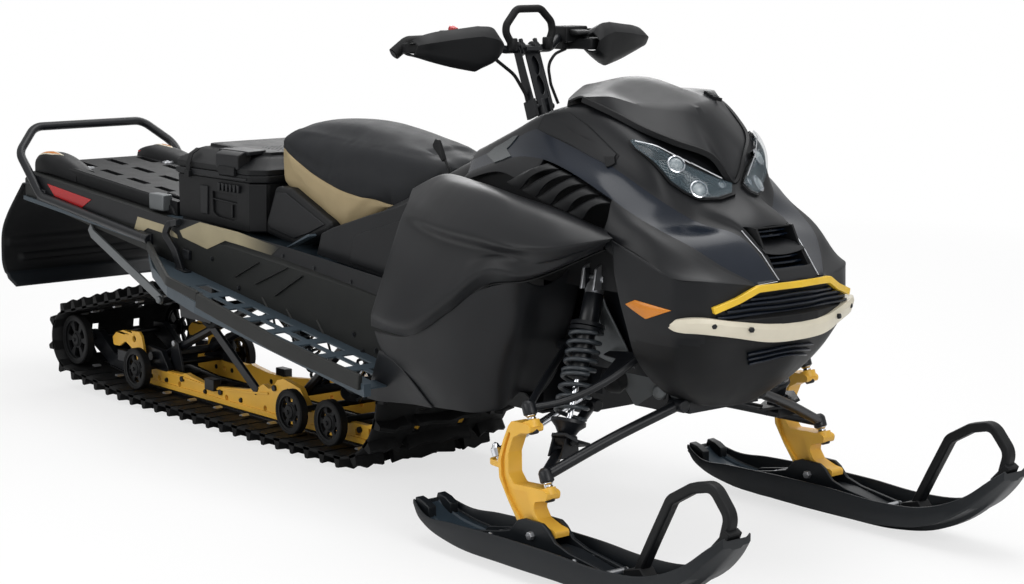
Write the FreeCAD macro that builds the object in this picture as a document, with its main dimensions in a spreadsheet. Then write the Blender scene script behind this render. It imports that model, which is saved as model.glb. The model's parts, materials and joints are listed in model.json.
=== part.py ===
import FreeCAD, Part
import math
import os

# Snowmobile: a single-seat machine with a long track, two steered skis and a cargo box.
# Millimetres. +X is forward, +Y is the rider's left, +Z is up, and the floor is at z = 0.
# Stations along the machine are counted from the ski pivot bolts, forward positive.

doc = FreeCAD.newDocument("snowmobile")
sheet = doc.addObject("Spreadsheet::Sheet", "sizes")

size_rows = [
    # Overall and shared
    ("ski_stance", 940, "between the two ski centre lines"),
    ("rear_reach", 2975, "from the ski bolts back to the flap"),
    ("ski_reach", 632, "from the ski bolts forward to the ski tips"),
    ("overrun", 12, "how far a cutting shape runs past what it cuts"),
    ("seat_gap", 0.3, "between a piece and the soft or curved piece on it"),
    ("belt_seat", 0.9, "between a wheel and the inside of the belt"),
    # Track and its wheels
    ("track_width", 478, "width of the belt"),
    ("belt_thickness", 8, "belt without lugs"),
    ("lug_height", 42, "lug above the belt"),
    ("lug_thickness", 11, "lug at its tip"),
    ("lug_root", 24, "lug where it meets the belt"),
    ("lug_pitch", 74, "from one lug to the next"),
    ("lug_gap", 34, "plain strip of belt between lug bands"),
    ("lug_band", 96, "width of an outer lug band"),
    ("rear_wheel_station", 2660, "rear wheels behind the ski bolts"),
    ("rear_wheel_height", 160, "height of the rear wheel centres"),
    ("rear_wheel_radius", 83, "rear wheels"),
    ("rail_wheel_radius", 67, "small wheels along the rails"),
    ("rail_wheel_height", 117, "height of the small wheel centres"),
    ("rail_wheel_back", 2285, "small wheels behind the middle arm"),
    ("rail_wheel_mid", 1425, "first front pair of small wheels"),
    ("rail_wheel_front", 1232, "second front pair of small wheels"),
    ("wheel_width", 28, "width of a wheel"),
    ("wheel_spread", 196, "wheel centres from the centre plane"),
    ("carry_wheel_station", 1840, "upper wheels that carry the track"),
    ("carry_wheel_height", 372, "height of the upper wheels"),
    ("drive_station", 1030, "drive axle behind the ski bolts"),
    ("drive_height", 402, "height of the drive axle"),
    ("sprocket_radius", 92, "drive sprockets"),
    ("drive_axle_radius", 19, "drive axle tube"),
    ("wheel_axle_radius", 10, "wheel axles"),
    ("wheel_hub_radius", 26, "wheel hubs"),
    ("wheel_rim", 14, "rubber and rim of a wheel"),
    ("wheel_web", 9, "spoked web of a wheel"),
    ("spoke_width", 13, "one spoke"),
    # Slide rails and rear suspension
    ("rail_spread", 122, "rails from the centre plane"),
    ("rail_thickness", 22, "width of a rail"),
    ("rail_height", 58, "height of a rail"),
    ("rail_base", 54, "height of the rails' lower edge"),
    ("rail_rear", 2694, "rear end of the rails behind the ski bolts"),
    ("rail_bend_station", 1150, "where the rails start to curve up"),
    ("rail_bend_radius", 180, "belt round the curved rail fronts"),
    ("rail_tip_angle", 58, "degrees that the rail fronts curve through"),
    ("rail_hole_radius", 12, "lightening holes in the rails"),
    ("arm_tube_radius", 14, "suspension arm tubes"),
    ("drop_sheet", 8, "plates that hang the upper wheels from the tunnel"),
    ("shock_radius", 21, "rear shock bodies"),
    ("front_arm_foot", 1520, "front arm's lower axle behind the ski bolts"),
    ("front_arm_foot_height", 146, "height of the front arm's lower axle"),
    ("front_arm_head", 1180, "front arm's upper axle behind the ski bolts"),
    ("front_arm_head_height", 425, "height of the front arm's upper axle"),
    ("rear_arm_foot", 2290, "rear arm's lower axle behind the ski bolts"),
    ("rear_arm_foot_height", 150, "height of the rear arm's lower axle"),
    ("rear_arm_head", 1745, "rear arm's upper axle behind the ski bolts"),
    ("rear_arm_head_height", 385, "height of the rear arm's upper axle"),
    # Tunnel and boards
    ("tunnel_rear", 2830, "rear end of the tunnel behind the ski bolts"),
    ("tunnel_front", 640, "front end of the tunnel"),
    ("tunnel_width", 560, "tunnel across"),
    ("tunnel_rear_top", 706, "height of the tunnel top at its rear end"),
    ("tunnel_front_top", 526, "height of the tunnel top at its front end"),
    ("tunnel_wall", 4, "tunnel sheet"),
    ("tunnel_bevel", 22, "bevel along the tunnel's upper edges"),
    ("tunnel_lip", 84, "height of the tunnel side at its rear end"),
    ("board_front", 700.3, "front end of the running boards"),
    ("board_rear", 2040, "rear end of the running boards"),
    ("board_front_height", 331, "height of the boards at their front end"),
    ("board_rear_height", 522, "height of the boards at their rear end"),
    ("board_reach", 468, "boards' outer edge from the centre plane"),
    ("board_sheet", 4, "running board sheet"),
    ("board_edge", 22, "outer edge bar of a board"),
    ("board_slot_length", 86, "slots in the boards"),
    ("board_slot_width", 38, "slots in the boards"),
    # Rear end
    ("flap_overhang", 20, "snow flap beyond each side of the tunnel"),
    ("flap_rib", 7, "height of the flap's stiffening ribs"),
    ("flap_rib_width", 16, "stiffening ribs across"),
    ("flap_sheet", 7, "snow flap sheet"),
    ("flap_low", 312, "height of the flap's lower edge"),
    ("bar_radius", 14, "rear grab bar tube"),
    ("bar_top", 845, "height of the grab bar's top run"),
    ("bar_half_top", 205, "half the straight top run"),
    ("bar_bend", 60, "bend radius of the grab bar"),
    ("deck_rear", 2800, "rear end of the cargo deck"),
    ("deck_front", 1960, "front end of the cargo deck"),
    ("deck_width", 470, "cargo deck across"),
    ("deck_height", 46, "cargo deck above the tunnel"),
    ("deck_slot_length", 110, "slots in the deck"),
    ("deck_slot_width", 28, "slots in the deck"),
    ("lamp_width", 90, "tail lamp across"),
    ("lamp_height", 30, "tail lamp"),
    ("lamp_depth", 24, "tail lamp"),
    ("hitch_width", 90, "tow hitch plate across"),
    ("hitch_length", 110, "tow hitch plate"),
    ("hitch_sheet", 8, "tow hitch plate"),
    ("hitch_hole_radius", 8, "tow pin hole"),
    # Cargo box
    ("box_rear", 1935, "rear wall of the cargo box"),
    ("box_front", 1510, "front wall of the cargo box"),
    ("box_width", 490, "cargo box across"),
    ("box_top", 792, "height of the box rim"),
    ("box_wall", 8, "box wall"),
    ("lid_height", 62, "lid at its middle"),
    ("lid_gap", 0.3, "between the box rim and the lid"),
    ("lid_pin_radius", 5, "lid hinge line behind the box's rear wall"),
    ("knuckle_half", 14, "half the length of a hinge barrel"),
    ("handle_width", 152, "grip recess in each side of the box"),
    ("handle_height", 74, "grip recess in each side of the box"),
    ("handle_depth", 5, "grip recess in each side of the box"),
    # Seat and console
    ("seat_rear", 1486, "rear end of the seat"),
    ("seat_front", 850, "front end of the seat"),
    ("seat_half", 190, "half the seat's widest section"),
    ("seat_low", 668, "lowest point of the seat's side"),
    ("seat_high", 950, "highest point of the seat"),
    ("console_half", 240, "half the width of the console under the seat"),
    # Body panels
    ("panel_rear", 700, "rear edge of the side panels"),
    ("panel_front", 130, "front tip of the side panels ahead of the ski bolts"),
    ("panel_reach", 480, "side panels from the centre plane"),
    ("panel_low", 290, "lowest edge of the side panels"),
    ("panel_high", 890, "highest edge of the side panels"),
    ("panel_wall", 8, "side panel wall"),
    ("hood_rear", 640, "rear end of the hood"),
    ("hood_front", 335, "nose of the hood ahead of the ski bolts"),
    ("hood_half", 290, "half the hood's widest section"),
    ("hood_low", 660, "lowest edge of the hood"),
    ("hood_high", 1030, "highest point of the hood"),
    ("louvre_reach", 9, "louvre fins beyond the hood's side"),
    ("louvre_thickness", 8, "louvre fins"),
    ("intake_half", 60, "half the air intake in the hood's nose"),
    ("intake_depth", 74, "air intake from the nose rearwards"),
    ("slat_thickness", 6, "slats of the intake and the grille"),
    ("shield_rear", 200, "rear edge of the windshield"),
    ("shield_front", 130, "front point of the windshield"),
    ("shield_half", 205, "half the windshield's rear edge"),
    ("shield_low", 900, "lowest point of the windshield"),
    ("shield_high", 1105, "highest point of the windshield"),
    ("shield_foot", 70, "windshield foot below its lowest point, before it is fitted to the hood"),
    ("headlight_length", 150, "headlights along the machine, ahead of the ski bolts"),
    ("headlight_half", 196, "headlights' outer ends from the centre plane"),
    ("headlight_low", 846, "lowest point of the headlights"),
    ("headlight_high", 985, "highest point of the headlights"),
    ("fascia_rear", 100, "rear edge of the nose cover"),
    ("fascia_front", 345, "front of the nose cover"),
    ("fascia_half", 310, "half the nose cover's widest section"),
    ("fascia_low", 360, "lowest point of the nose cover"),
    ("fascia_high", 652, "top of the nose cover at its front"),
    ("fascia_slope", 0.44, "rise of the nose cover's top towards the rear, per unit of length"),
    ("grille_half", 104, "half the grille in the nose cover"),
    ("grille_depth", 52, "grille recess"),
    ("bumper_height", 40, "front bumper bar"),
    ("bumper_depth", 30, "front bumper bar"),
    ("bumper_level", 566, "height of the bumper at the nose"),
    ("belly_low", 300, "lowest point of the belly pan"),
    ("belly_wall", 5, "belly pan sheet"),
    ("belly_rear", 640, "rear end of the belly pan"),
    ("belly_front", 290, "front end of the belly pan"),
    ("belly_side", 60, "height of the belly pan's turned-up sides"),
    ("engine_length", 300, "engine along the machine"),
    ("engine_inset", 80, "engine's sides inside the tunnel's width"),
    ("engine_height", 330, "engine"),
    ("engine_station", 310, "front face of the engine behind the ski bolts"),
    # Steering
    ("steer_station", 550, "riser foot behind the ski bolts"),
    ("steer_height", 1030, "height of the riser foot"),
    ("steer_rake", 21.8, "degrees that the column leans back"),
    ("post_radius", 15, "steering post"),
    ("post_length", 120, "steering post below the riser foot"),
    ("post_clearance", 0.3, "around the post in the hood"),
    ("riser_length", 165, "riser from foot to bar"),
    ("riser_width", 62, "riser across"),
    ("riser_depth", 26, "riser front to back"),
    ("riser_window", 11, "radius of the openings in the riser"),
    ("grip_bar_radius", 11, "handlebar tube"),
    ("bar_straight", 110, "half the straight middle of the bar"),
    ("bar_sweep", 49, "grips behind the bar's middle"),
    ("bar_drop", 11, "grips below the bar's middle"),
    ("bar_corner", 60, "bend radius of the bar"),
    ("grip_radius", 17, "rubber grips"),
    ("grip_length", 115, "rubber grips"),
    ("handlebar_half", 385, "handlebar end from the centre plane"),
    ("guard_inner", 190, "inner edge of a hand guard"),
    ("guard_height", 84, "hand guard"),
    ("guard_reach", 93, "front of a hand guard ahead of the bar"),
    ("guard_drop", 53, "lower edge of a hand guard under the bar"),
    ("strap_width", 158, "grab strap loop across"),
    ("strap_height", 94, "grab strap loop above the bar"),
    ("strap_radius", 9, "grab strap section"),
    ("strap_corner", 26, "bend radius of the grab strap"),
    # Front suspension
    ("kingpin_low_station", 20, "lower ball joint ahead of the ski bolts"),
    ("kingpin_low_height", 199, "height of the lower ball joint"),
    ("kingpin_high_station", 38, "upper ball joint behind the ski bolts"),
    ("kingpin_high_height", 350, "height of the upper ball joint"),
    ("spindle_thickness", 42, "spindle forging"),
    ("spindle_back", 136, "rearmost point of the spindle behind the ski bolts"),
    ("ear_width", 38, "spindle ears along the machine"),
    ("ear_thickness", 19, "spindle ears from top to bottom"),
    ("ball_radius", 15, "ball joint housings"),
    ("stud_radius", 7, "ball joint studs"),
    ("stud_reach", 22, "ball joint studs above the ears' middle"),
    ("lower_arm_radius", 13, "lower arm tubes"),
    ("upper_arm_radius", 9, "upper arm tubes"),
    ("pivot_radius", 15, "arm pivot bushes"),
    ("pivot_length", 46, "arm pivot bushes"),
    ("lower_pivot_front", 100, "front pivot of the lower arm ahead of the ski bolts"),
    ("lower_pivot_rear", 205, "rear pivot of the lower arm behind the ski bolts"),
    ("lower_pivot_side", 132, "pivots of the lower arm from the centre plane"),
    ("lower_pivot_height", 372, "height of the lower arm's front pivot"),
    ("lower_pivot_fall", 47, "rear pivot of the lower arm below the front one"),
    ("upper_pivot_front", 60, "front pivot of the upper arm ahead of the ski bolts"),
    ("upper_pivot_rear", 215, "rear pivot of the upper arm behind the ski bolts"),
    ("upper_pivot_side", 205, "pivots of the upper arm from the centre plane"),
    ("upper_pivot_height", 500, "height of the upper arm's front pivot"),
    ("upper_pivot_fall", 18, "rear pivot of the upper arm below the front one"),
    ("tie_rod_radius", 8, "tie rods"),
    ("tie_eye_station", 165, "tie rods' outer eyes behind the ski bolts"),
    ("tie_eye_height", 262, "height of the tie rods' outer eyes"),
    ("tie_ring_radius", 13, "tie rod eyes"),
    ("tie_ring_half", 9, "half the height of a tie rod eye"),
    ("tie_inner_station", 140, "tie rods' inner ends behind the ski bolts"),
    ("tie_inner_side", 150, "tie rods' inner ends from the centre plane"),
    ("tie_inner_height", 395, "height of the tie rods' inner ends"),
    ("shock_top_station", 85, "shock's upper eye behind the ski bolts"),
    ("shock_top_side", 225, "shock's upper eye from the centre plane"),
    ("shock_top_height", 665, "height of the shock's upper eye"),
    ("shock_lift", 30, "shock's lower eye above the lower arm"),
    ("shock_ear", 6, "ears that hold the shock's eyes"),
    ("ski_shock_radius", 22, "front shock bodies"),
    ("spring_radius", 36, "front springs, to the middle of the wire"),
    ("spring_wire", 5, "front spring wire radius"),
    ("subframe_half", 142, "half the subframe's box"),
    ("subframe_low", 352, "height of the subframe's underside at its front"),
    ("subframe_high", 452, "height of the subframe's shelf"),
    ("shelf_half", 175, "half the subframe's shelf"),
    ("subframe_sheet", 12, "subframe shelf"),
    ("tower_sheet", 14, "shock towers"),
    ("tower_high", 700, "height of the shock towers"),
    ("ski_bolt_height", 97, "height of the ski pivot bolts"),
    ("ski_bolt_radius", 6, "ski pivot bolts"),
    # Skis
    ("ski_tail", 432, "from the ski bolts back to the ski's tail"),
    ("ski_half", 82, "half the ski's width"),
    ("ski_wall", 6, "ski wall"),
    ("ski_tip_height", 222, "height of the ski tip"),
    ("ski_keel", 12, "half the keel's width"),
    ("saddle_gap", 2, "between the spindle and the ski's saddle walls"),
    ("saddle_wall", 9, "saddle walls"),
    ("loop_radius", 13, "ski loop section"),
    ("loop_top", 330, "height of the ski loop"),
    ("loop_corner", 24, "bend radius of the ski loop"),
]

for row_number, (alias, value, note) in enumerate(size_rows, start=1):
    sheet.set("A%d" % row_number, alias)
    sheet.set("B%d" % row_number, str(value))
    sheet.set("C%d" % row_number, note)
    sheet.setAlias("B%d" % row_number, alias)
doc.recompute()


class Sizes:
    """Reads a cell of the sheet by its alias."""

    def __getattr__(self, alias):
        return float(sheet.get(alias))


dim = Sizes()
ski_pin_x = (dim.rear_reach - dim.ski_reach) / 2
sheet.set("B%d" % (len(size_rows) + 1), str(ski_pin_x))
sheet.setAlias("B%d" % (len(size_rows) + 1), "ski_pin_x")
doc.recompute()

pieces = []


def at(station, side, height):
    """A point from its station, counted from the ski bolts, its side and its height."""
    return FreeCAD.Vector(station + ski_pin_x, side, height)


def spread(low, high, share):
    return low + (high - low) * share


def register(feature, label):
    feature.Label = label
    pieces.append(feature)
    return feature


def add_piece(label, shape):
    """Puts a finished shape into the document as one sub-part."""
    feature = doc.addObject("Part::Feature", label)
    feature.Shape = shape
    feature.Placement = FreeCAD.Placement()
    return register(feature, label)


def mirrored(shape):
    return shape.mirror(FreeCAD.Vector(0, 0, 0), FreeCAD.Vector(0, 1, 0))


def add_pair(name, right_shape):
    """Adds a right-hand piece and its mirror image."""
    add_piece(name + "_right", right_shape)
    add_piece(name + "_left", mirrored(right_shape))


def joined(shapes):
    """Fuses shapes into one and merges faces that lie in one plane."""
    first, rest = shapes[0], shapes[1:]
    if not rest:
        return first
    return first.fuse(rest).removeSplitter()


def closed_wire(points):
    return Part.makePolygon(list(points) + [points[0]])


def side_plate(points, low_side, high_side):
    """A flat plate whose outline is drawn in the side view as (station, height)."""
    wire = closed_wire([at(station, low_side, height) for station, height in points])
    return Part.Face(wire).extrude(FreeCAD.Vector(0, high_side - low_side, 0))


def skin(sections):
    """A solid through closed sections of equal point counts, with flat faces between them."""
    faces = [Part.Face(closed_wire(sections[0])), Part.Face(closed_wire(sections[-1]))]
    for first, second in zip(sections, sections[1:]):
        for index, corner in enumerate(first):
            after = (index + 1) % len(first)
            for triangle in ((corner, first[after], second[after]), (corner, second[after], second[index])):
                if (triangle[1] - triangle[0]).cross(triangle[2] - triangle[0]).Length > 0:
                    faces.append(Part.Face(closed_wire(triangle)))
    shell = Part.makeCompound(faces)
    shell.sewShape()
    solid = Part.makeSolid(shell.Shells[0])
    if solid.Volume < 0:
        solid.reverse()
    return solid.removeSplitter()


def block(stations, sides, heights):
    """A box from its (low, high) stations, sides and heights."""
    length = stations[1] - stations[0]
    width = sides[1] - sides[0]
    height = heights[1] - heights[0]
    return Part.makeBox(length, width, height, at(stations[0], sides[0], heights[0]))


def ring_points(middle, along, radius, sides):
    """Corners of an even polygon round a point, square to a direction."""
    helper = FreeCAD.Vector(0, 0, 1) if abs(along.z) < 0.9 * along.Length else FreeCAD.Vector(1, 0, 0)
    across = along.cross(helper).normalize()
    upward = across.cross(along).normalize()
    corners = []
    for number in range(sides):
        angle = 2 * math.pi * (number + 0.5) / sides
        corners.append(middle + across * (radius * math.cos(angle)) + upward * (radius * math.sin(angle)))
    return corners


def rod(start, end, radius, sides=8):
    """A bar from one point to another, round to within an even number of flats."""
    along = end - start
    return Part.Face(closed_wire(ring_points(start, along, radius, sides))).extrude(along)


def pin(start, end, radius):
    """A true round pin, where something turns on it."""
    along = end - start
    return Part.makeCylinder(radius, along.Length, start, along)


def cross_bar(station, height, half, radius, sides=8):
    return rod(at(station, -half, height), at(station, half, height), radius, sides)


def eased_line(points, bend, steps=2):
    """Straight runs whose corners are eased by short runs along an arc of one radius."""
    line = [points[0]]
    for before, corner, after in zip(points, points[1:], points[2:]):
        towards = (before - corner).normalize()
        onward = (after - corner).normalize()
        turn = math.pi - towards.getAngle(onward)
        setback = bend * math.tan(turn / 2)
        centre = corner + (towards + onward).normalize() * (bend / math.cos(turn / 2))
        first = corner + towards * setback - centre
        last = corner + onward * setback - centre
        for number in range(steps + 1):
            share = number / steps
            spin = (first * math.sin((1 - share) * turn) + last * math.sin(share * turn)) * (1 / math.sin(turn))
            line.append(centre + spin)
    return line + [points[-1]]


tube_sides = 8
flat_share = math.cos(math.pi / tube_sides)
seat_share = (1 + flat_share) / 2


def bent_tube(points, radius, bend):
    """A bent bar with mitred runs and even flats, which lie at the flat share of its radius."""
    line = eased_line(points, bend)
    ways = [(after - before).normalize() for before, after in zip(line, line[1:])]
    section = ring_points(line[0], ways[0], radius, tube_sides)
    sections = [section]
    for number, node in enumerate(line[1:]):
        way = ways[number]
        facing = way if number + 1 == len(ways) else way + ways[number + 1]
        section = [corner + way * ((node - corner).dot(facing) / way.dot(facing)) for corner in section]
        sections.append(section)
    return skin(sections)


# Lines that several pieces share


def tunnel_top(station):
    """Height of the tunnel's upper face at a station."""
    share = (station + dim.tunnel_rear) / (dim.tunnel_rear - dim.tunnel_front)
    return spread(dim.tunnel_rear_top, dim.tunnel_front_top, share)


def board_level(station):
    """Height of the running boards at a station."""
    share = (station + dim.board_rear) / (dim.board_rear - dim.board_front)
    return spread(dim.board_rear_height, dim.board_front_height, share)


def tunnel_edge(station):
    """Height of the tunnel side's lower edge."""
    if station > -dim.board_rear:
        return board_level(station)
    share = (station + dim.tunnel_rear) / (dim.tunnel_rear - dim.board_rear)
    return spread(dim.tunnel_rear_top - dim.tunnel_lip, dim.board_rear_height, share)


ski_side = dim.ski_stance / 2
kingpin_low = at(dim.kingpin_low_station, -ski_side, dim.kingpin_low_height)
kingpin_high = at(-dim.kingpin_high_station, -ski_side, dim.kingpin_high_height)
kingpin_axis = (kingpin_high - kingpin_low).normalize()
steer_lean = math.radians(dim.steer_rake)
steer_axis = FreeCAD.Vector(-math.sin(steer_lean), 0, math.cos(steer_lean))
steer_foot = at(-dim.steer_station, 0, dim.steer_height)


# Tunnel: a folded sheet, open below, with bevelled upper edges


def tunnel_section(station):
    half = dim.tunnel_width / 2
    top = tunnel_top(station)
    low = tunnel_edge(station)
    bevel = dim.tunnel_bevel
    wall = dim.tunnel_wall
    outside = [(-half, low), (-half, top - bevel), (-half + bevel, top)]
    inner_half = half - wall
    inside = [(-inner_half, low), (-inner_half, top - bevel - wall), (-inner_half + bevel, top - wall)]
    across = outside + [(-side, height) for side, height in reversed(outside)]
    back = inside + [(-side, height) for side, height in reversed(inside)]
    return [at(station, side, height) for side, height in across + list(reversed(back))]


def make_tunnel():
    stations = (-dim.tunnel_rear, -dim.board_rear, -dim.tunnel_front)
    add_piece("tunnel", skin([tunnel_section(station) for station in stations]))


# Running boards: sloping slotted floors with a raised edge bar that curves in at the rear

board_taper_shares = [(0, 0.06), (0.13, 0.55), (0.27, 0.9), (0.4, 1), (1, 1)]


def board_section(station, width_share):
    inner = -dim.tunnel_width / 2
    outer = spread(inner, -dim.board_reach, width_share)
    bar = outer + dim.board_edge * min(1, width_share * 2)
    level = board_level(station)
    sheet_low = level - dim.board_sheet
    bar_high = level + dim.board_edge / 2
    bar_low = level - dim.board_edge
    profile = [(inner, sheet_low), (inner, level), (bar, level), (bar, bar_high),
               (outer, bar_high), (outer, bar_low), (bar, bar_low), (bar, sheet_low)]
    return [at(station, side, height) for side, height in profile]


def make_running_boards():
    sections = []
    for length_share, width_share in board_taper_shares:
        station = spread(-dim.board_rear, -dim.board_front, length_share)
        sections.append(board_section(station, width_share))
    board = skin(sections)
    slots = []
    inner = -dim.tunnel_width / 2
    slot_step = dim.board_slot_length * 1.4
    first = spread(-dim.board_rear, -dim.board_front, board_taper_shares[2][0])
    room = inner + dim.board_reach - dim.board_edge
    for row in (1, 2):
        middle = inner - room * row / 3
        station = first
        while station + slot_step < -dim.board_front:
            level = board_level(station)
            slots.append(block((station, station + dim.board_slot_length),
                               (middle - dim.board_slot_width / 2, middle + dim.board_slot_width / 2),
                               (level - dim.board_slot_width * 2, level + dim.board_slot_width)))
            station = station + slot_step
    add_pair("running_board", board.cut(Part.makeCompound(slots)))


# Rear end: snow flap, grab bar, deck, lamps and tow hitch

flap_line_shares = [(0, 1), (0.45, 0.78), (0.97, 0.5), (1, 0.22), (0.6, 0)]
flap_rib_shares = (-0.94, -0.47, 0, 0.47, 0.94)


def make_snow_flap():
    front = -dim.tunnel_rear - dim.flap_sheet
    rear = -dim.rear_reach + dim.flap_rib
    top = dim.tunnel_rear_top - dim.tunnel_lip / 2
    line = []
    for length_share, height_share in flap_line_shares:
        line.append((spread(front, rear, length_share), spread(dim.flap_low, top, height_share)))
    back = [(station + dim.flap_sheet, height) for station, height in reversed(line)]
    half = dim.tunnel_width / 2 + dim.flap_overhang
    ribs = []
    for share in flap_rib_shares:
        raised = [(station - dim.flap_rib, height) for station, height in line]
        middle = half * share
        ribs.append(side_plate(raised + back, middle - dim.flap_rib_width / 2, middle + dim.flap_rib_width / 2))
    add_piece("snow_flap", joined([side_plate(line + back, -half, half)] + ribs))


# share of the way from the boards' rear end to the flap, share of height, and whether at the tunnel's side
bar_shares = [(0.706, 0.063, 1), (0.856, 0.655, 1), (0.9155, 1, 0)]


def make_grab_bar():
    side = dim.tunnel_width / 2 + dim.bar_radius * flat_share + dim.seat_gap
    line = [(-dim.board_rear, side, board_level(-dim.board_rear) + dim.bar_radius * 3)]
    for length_share, height_share, side_share in bar_shares:
        line.append((spread(-dim.board_rear, -dim.rear_reach, length_share),
                     spread(dim.bar_half_top, side, side_share),
                     spread(dim.tunnel_rear_top - dim.tunnel_lip, dim.bar_top, height_share)))
    right = [at(station, -away, height) for station, away, height in line]
    left = [at(station, away, height) for station, away, height in reversed(line)]
    add_piece("grab_bar", bent_tube(right + left, dim.bar_radius, dim.bar_bend))


def deck_point(station, side, above):
    return at(station, side, tunnel_top(station) + above)


def make_cargo_deck():
    half = dim.deck_width / 2
    rear = -dim.deck_rear
    front = -dim.deck_front
    sections = []
    for station in (rear, front):
        profile = [(-half, 0), (-half, dim.deck_height), (-half * 0.9, dim.deck_height),
                   (-half * 0.86, dim.deck_height * 0.7), (half * 0.86, dim.deck_height * 0.7),
                   (half * 0.9, dim.deck_height), (half, dim.deck_height), (half, 0)]
        sections.append([deck_point(station, side, above) for side, above in profile])
    deck = skin(sections)
    cuts = []
    slot_count = 5
    for number in range(slot_count):
        station = spread(rear, front, (number + 0.5) / slot_count)
        for middle in (-half / 2, 0, half / 2):
            cuts.append(block((station - dim.deck_slot_length / 2, station + dim.deck_slot_length / 2),
                              (middle - dim.deck_slot_width / 2, middle + dim.deck_slot_width / 2),
                              (tunnel_top(station) + dim.deck_height * 0.3,
                               tunnel_top(station) + dim.deck_height * 2)))
    add_piece("cargo_deck", deck.cut(Part.makeCompound(cuts)))


def make_tail_lamps():
    lamps = []
    for side, name in ((-1, "right"), (1, "left")):
        lamp = doc.addObject("Part::Box", "tail_lamp_" + name)
        lamp.setExpression("Length", "sizes.lamp_depth")
        lamp.setExpression("Width", "sizes.lamp_width")
        lamp.setExpression("Height", "sizes.lamp_height")
        lamp.setExpression("Placement.Base.x", "sizes.ski_pin_x - sizes.deck_rear - sizes.lamp_depth")
        lamp.setExpression("Placement.Base.y",
                           "%d * (sizes.deck_width - sizes.lamp_width) / 2 - sizes.lamp_width / 2" % side)
        lamp.setExpression("Placement.Base.z", "sizes.tunnel_rear_top + sizes.deck_height - sizes.lamp_height")
        lamps.append(lamp)
    pair = doc.addObject("Part::Compound", "tail_lamp_pair")
    pair.Links = lamps
    doc.recompute()
    register(pair, "tail_lamps")


hitch_overhang_share = 0.45
tunnel_fall = (dim.tunnel_rear_top - dim.tunnel_front_top) / (dim.tunnel_rear - dim.tunnel_front)
tunnel_tilt = FreeCAD.Rotation(FreeCAD.Vector(0, 1, 0), math.degrees(math.atan(tunnel_fall)))
tunnel_normal = tunnel_tilt.multVec(FreeCAD.Vector(0, 0, 1))


def make_hitch():
    body = doc.addObject("PartDesign::Body", "hitch_body")
    plane = [item for item in body.Origin.OriginFeatures if item.Role == "XY_Plane"][0]
    sketch = body.newObject("Sketcher::SketchObject", "hitch_outline")
    sketch.AttachmentSupport = [(plane, "")]
    sketch.MapMode = "FlatFace"
    half = dim.hitch_width / 2
    corners = [(-half, 0), (half, 0), (half, dim.hitch_length), (-half, dim.hitch_length)]
    for start, end in zip(corners, corners[1:] + corners[:1]):
        sketch.addGeometry(Part.LineSegment(FreeCAD.Vector(start[1], start[0], 0),
                                            FreeCAD.Vector(end[1], end[0], 0)), False)
    sketch.addGeometry(Part.Circle(FreeCAD.Vector(dim.hitch_length * 0.3, 0, 0),
                                   FreeCAD.Vector(0, 0, 1), dim.hitch_hole_radius), False)
    pad = body.newObject("PartDesign::Pad", "hitch_pad")
    pad.Profile = sketch
    pad.setExpression("Length", "sizes.hitch_sheet")
    body.Tip = pad
    doc.recompute()
    station = -dim.tunnel_rear - dim.hitch_length * hitch_overhang_share
    under = at(station, 0, tunnel_top(station) - dim.tunnel_wall) - tunnel_normal * dim.hitch_sheet
    body.Placement = FreeCAD.Placement(under, tunnel_tilt)
    register(body, "tow_hitch")


# Cargo box with its hinged lid


hinge_station = -dim.box_rear - dim.lid_pin_radius
hinge_height = dim.box_top + dim.lid_gap / 2
hinge_shares = (-0.6, 0.6)
handle_shares = (0.58, 0.58)


def hinge_knuckle(make, middle, half, upward):
    """A barrel on the lid's hinge line with the leaf that joins it to the lid or to the box."""
    radius = dim.lid_pin_radius - dim.seat_gap
    ends = [at(hinge_station, side, hinge_height) for side in (middle - half, middle + half)]
    barrel = make(ends[0], ends[1], radius)
    near = dim.lid_gap / 2
    heights = sorted((hinge_height + upward * near, hinge_height + upward * radius))
    leaf = block((hinge_station, -dim.box_rear + dim.box_wall / 2), (middle - half, middle + half), heights)
    return joined([barrel, leaf])


def make_cargo_box():
    rear, front = -dim.box_rear, -dim.box_front
    half = dim.box_width / 2
    sections = []
    for station in (rear, front):
        profile = [(-half, 0), (-half, dim.box_top), (half, dim.box_top), (half, 0)]
        base = tunnel_top(station)
        sections.append([at(station, side, base if height == 0 else height) for side, height in profile])
    box = skin(sections)
    wall = dim.box_wall
    floor = tunnel_top(rear) + wall
    inside = block((rear + wall, front - wall), (-half + wall, half - wall),
                   (floor, dim.box_top + dim.overrun))
    centre = spread(rear, front, handle_shares[0])
    level = spread(tunnel_top(rear), dim.box_top, handle_shares[1])
    recesses = []
    for edge in (-half, half - dim.handle_depth):
        recesses.append(block((centre - dim.handle_width / 2, centre + dim.handle_width / 2),
                              (edge, edge + dim.handle_depth),
                              (level - dim.handle_height / 2, level + dim.handle_height / 2)))
    knuckles = []
    for share in hinge_shares:
        for side in (-1, 1):
            middle = half * share + side * (dim.knuckle_half * 2 + dim.lid_gap)
            knuckles.append(hinge_knuckle(rod, middle, dim.knuckle_half, -1))
    add_piece("cargo_box", joined([box.cut([inside] + recesses)] + knuckles))


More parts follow.
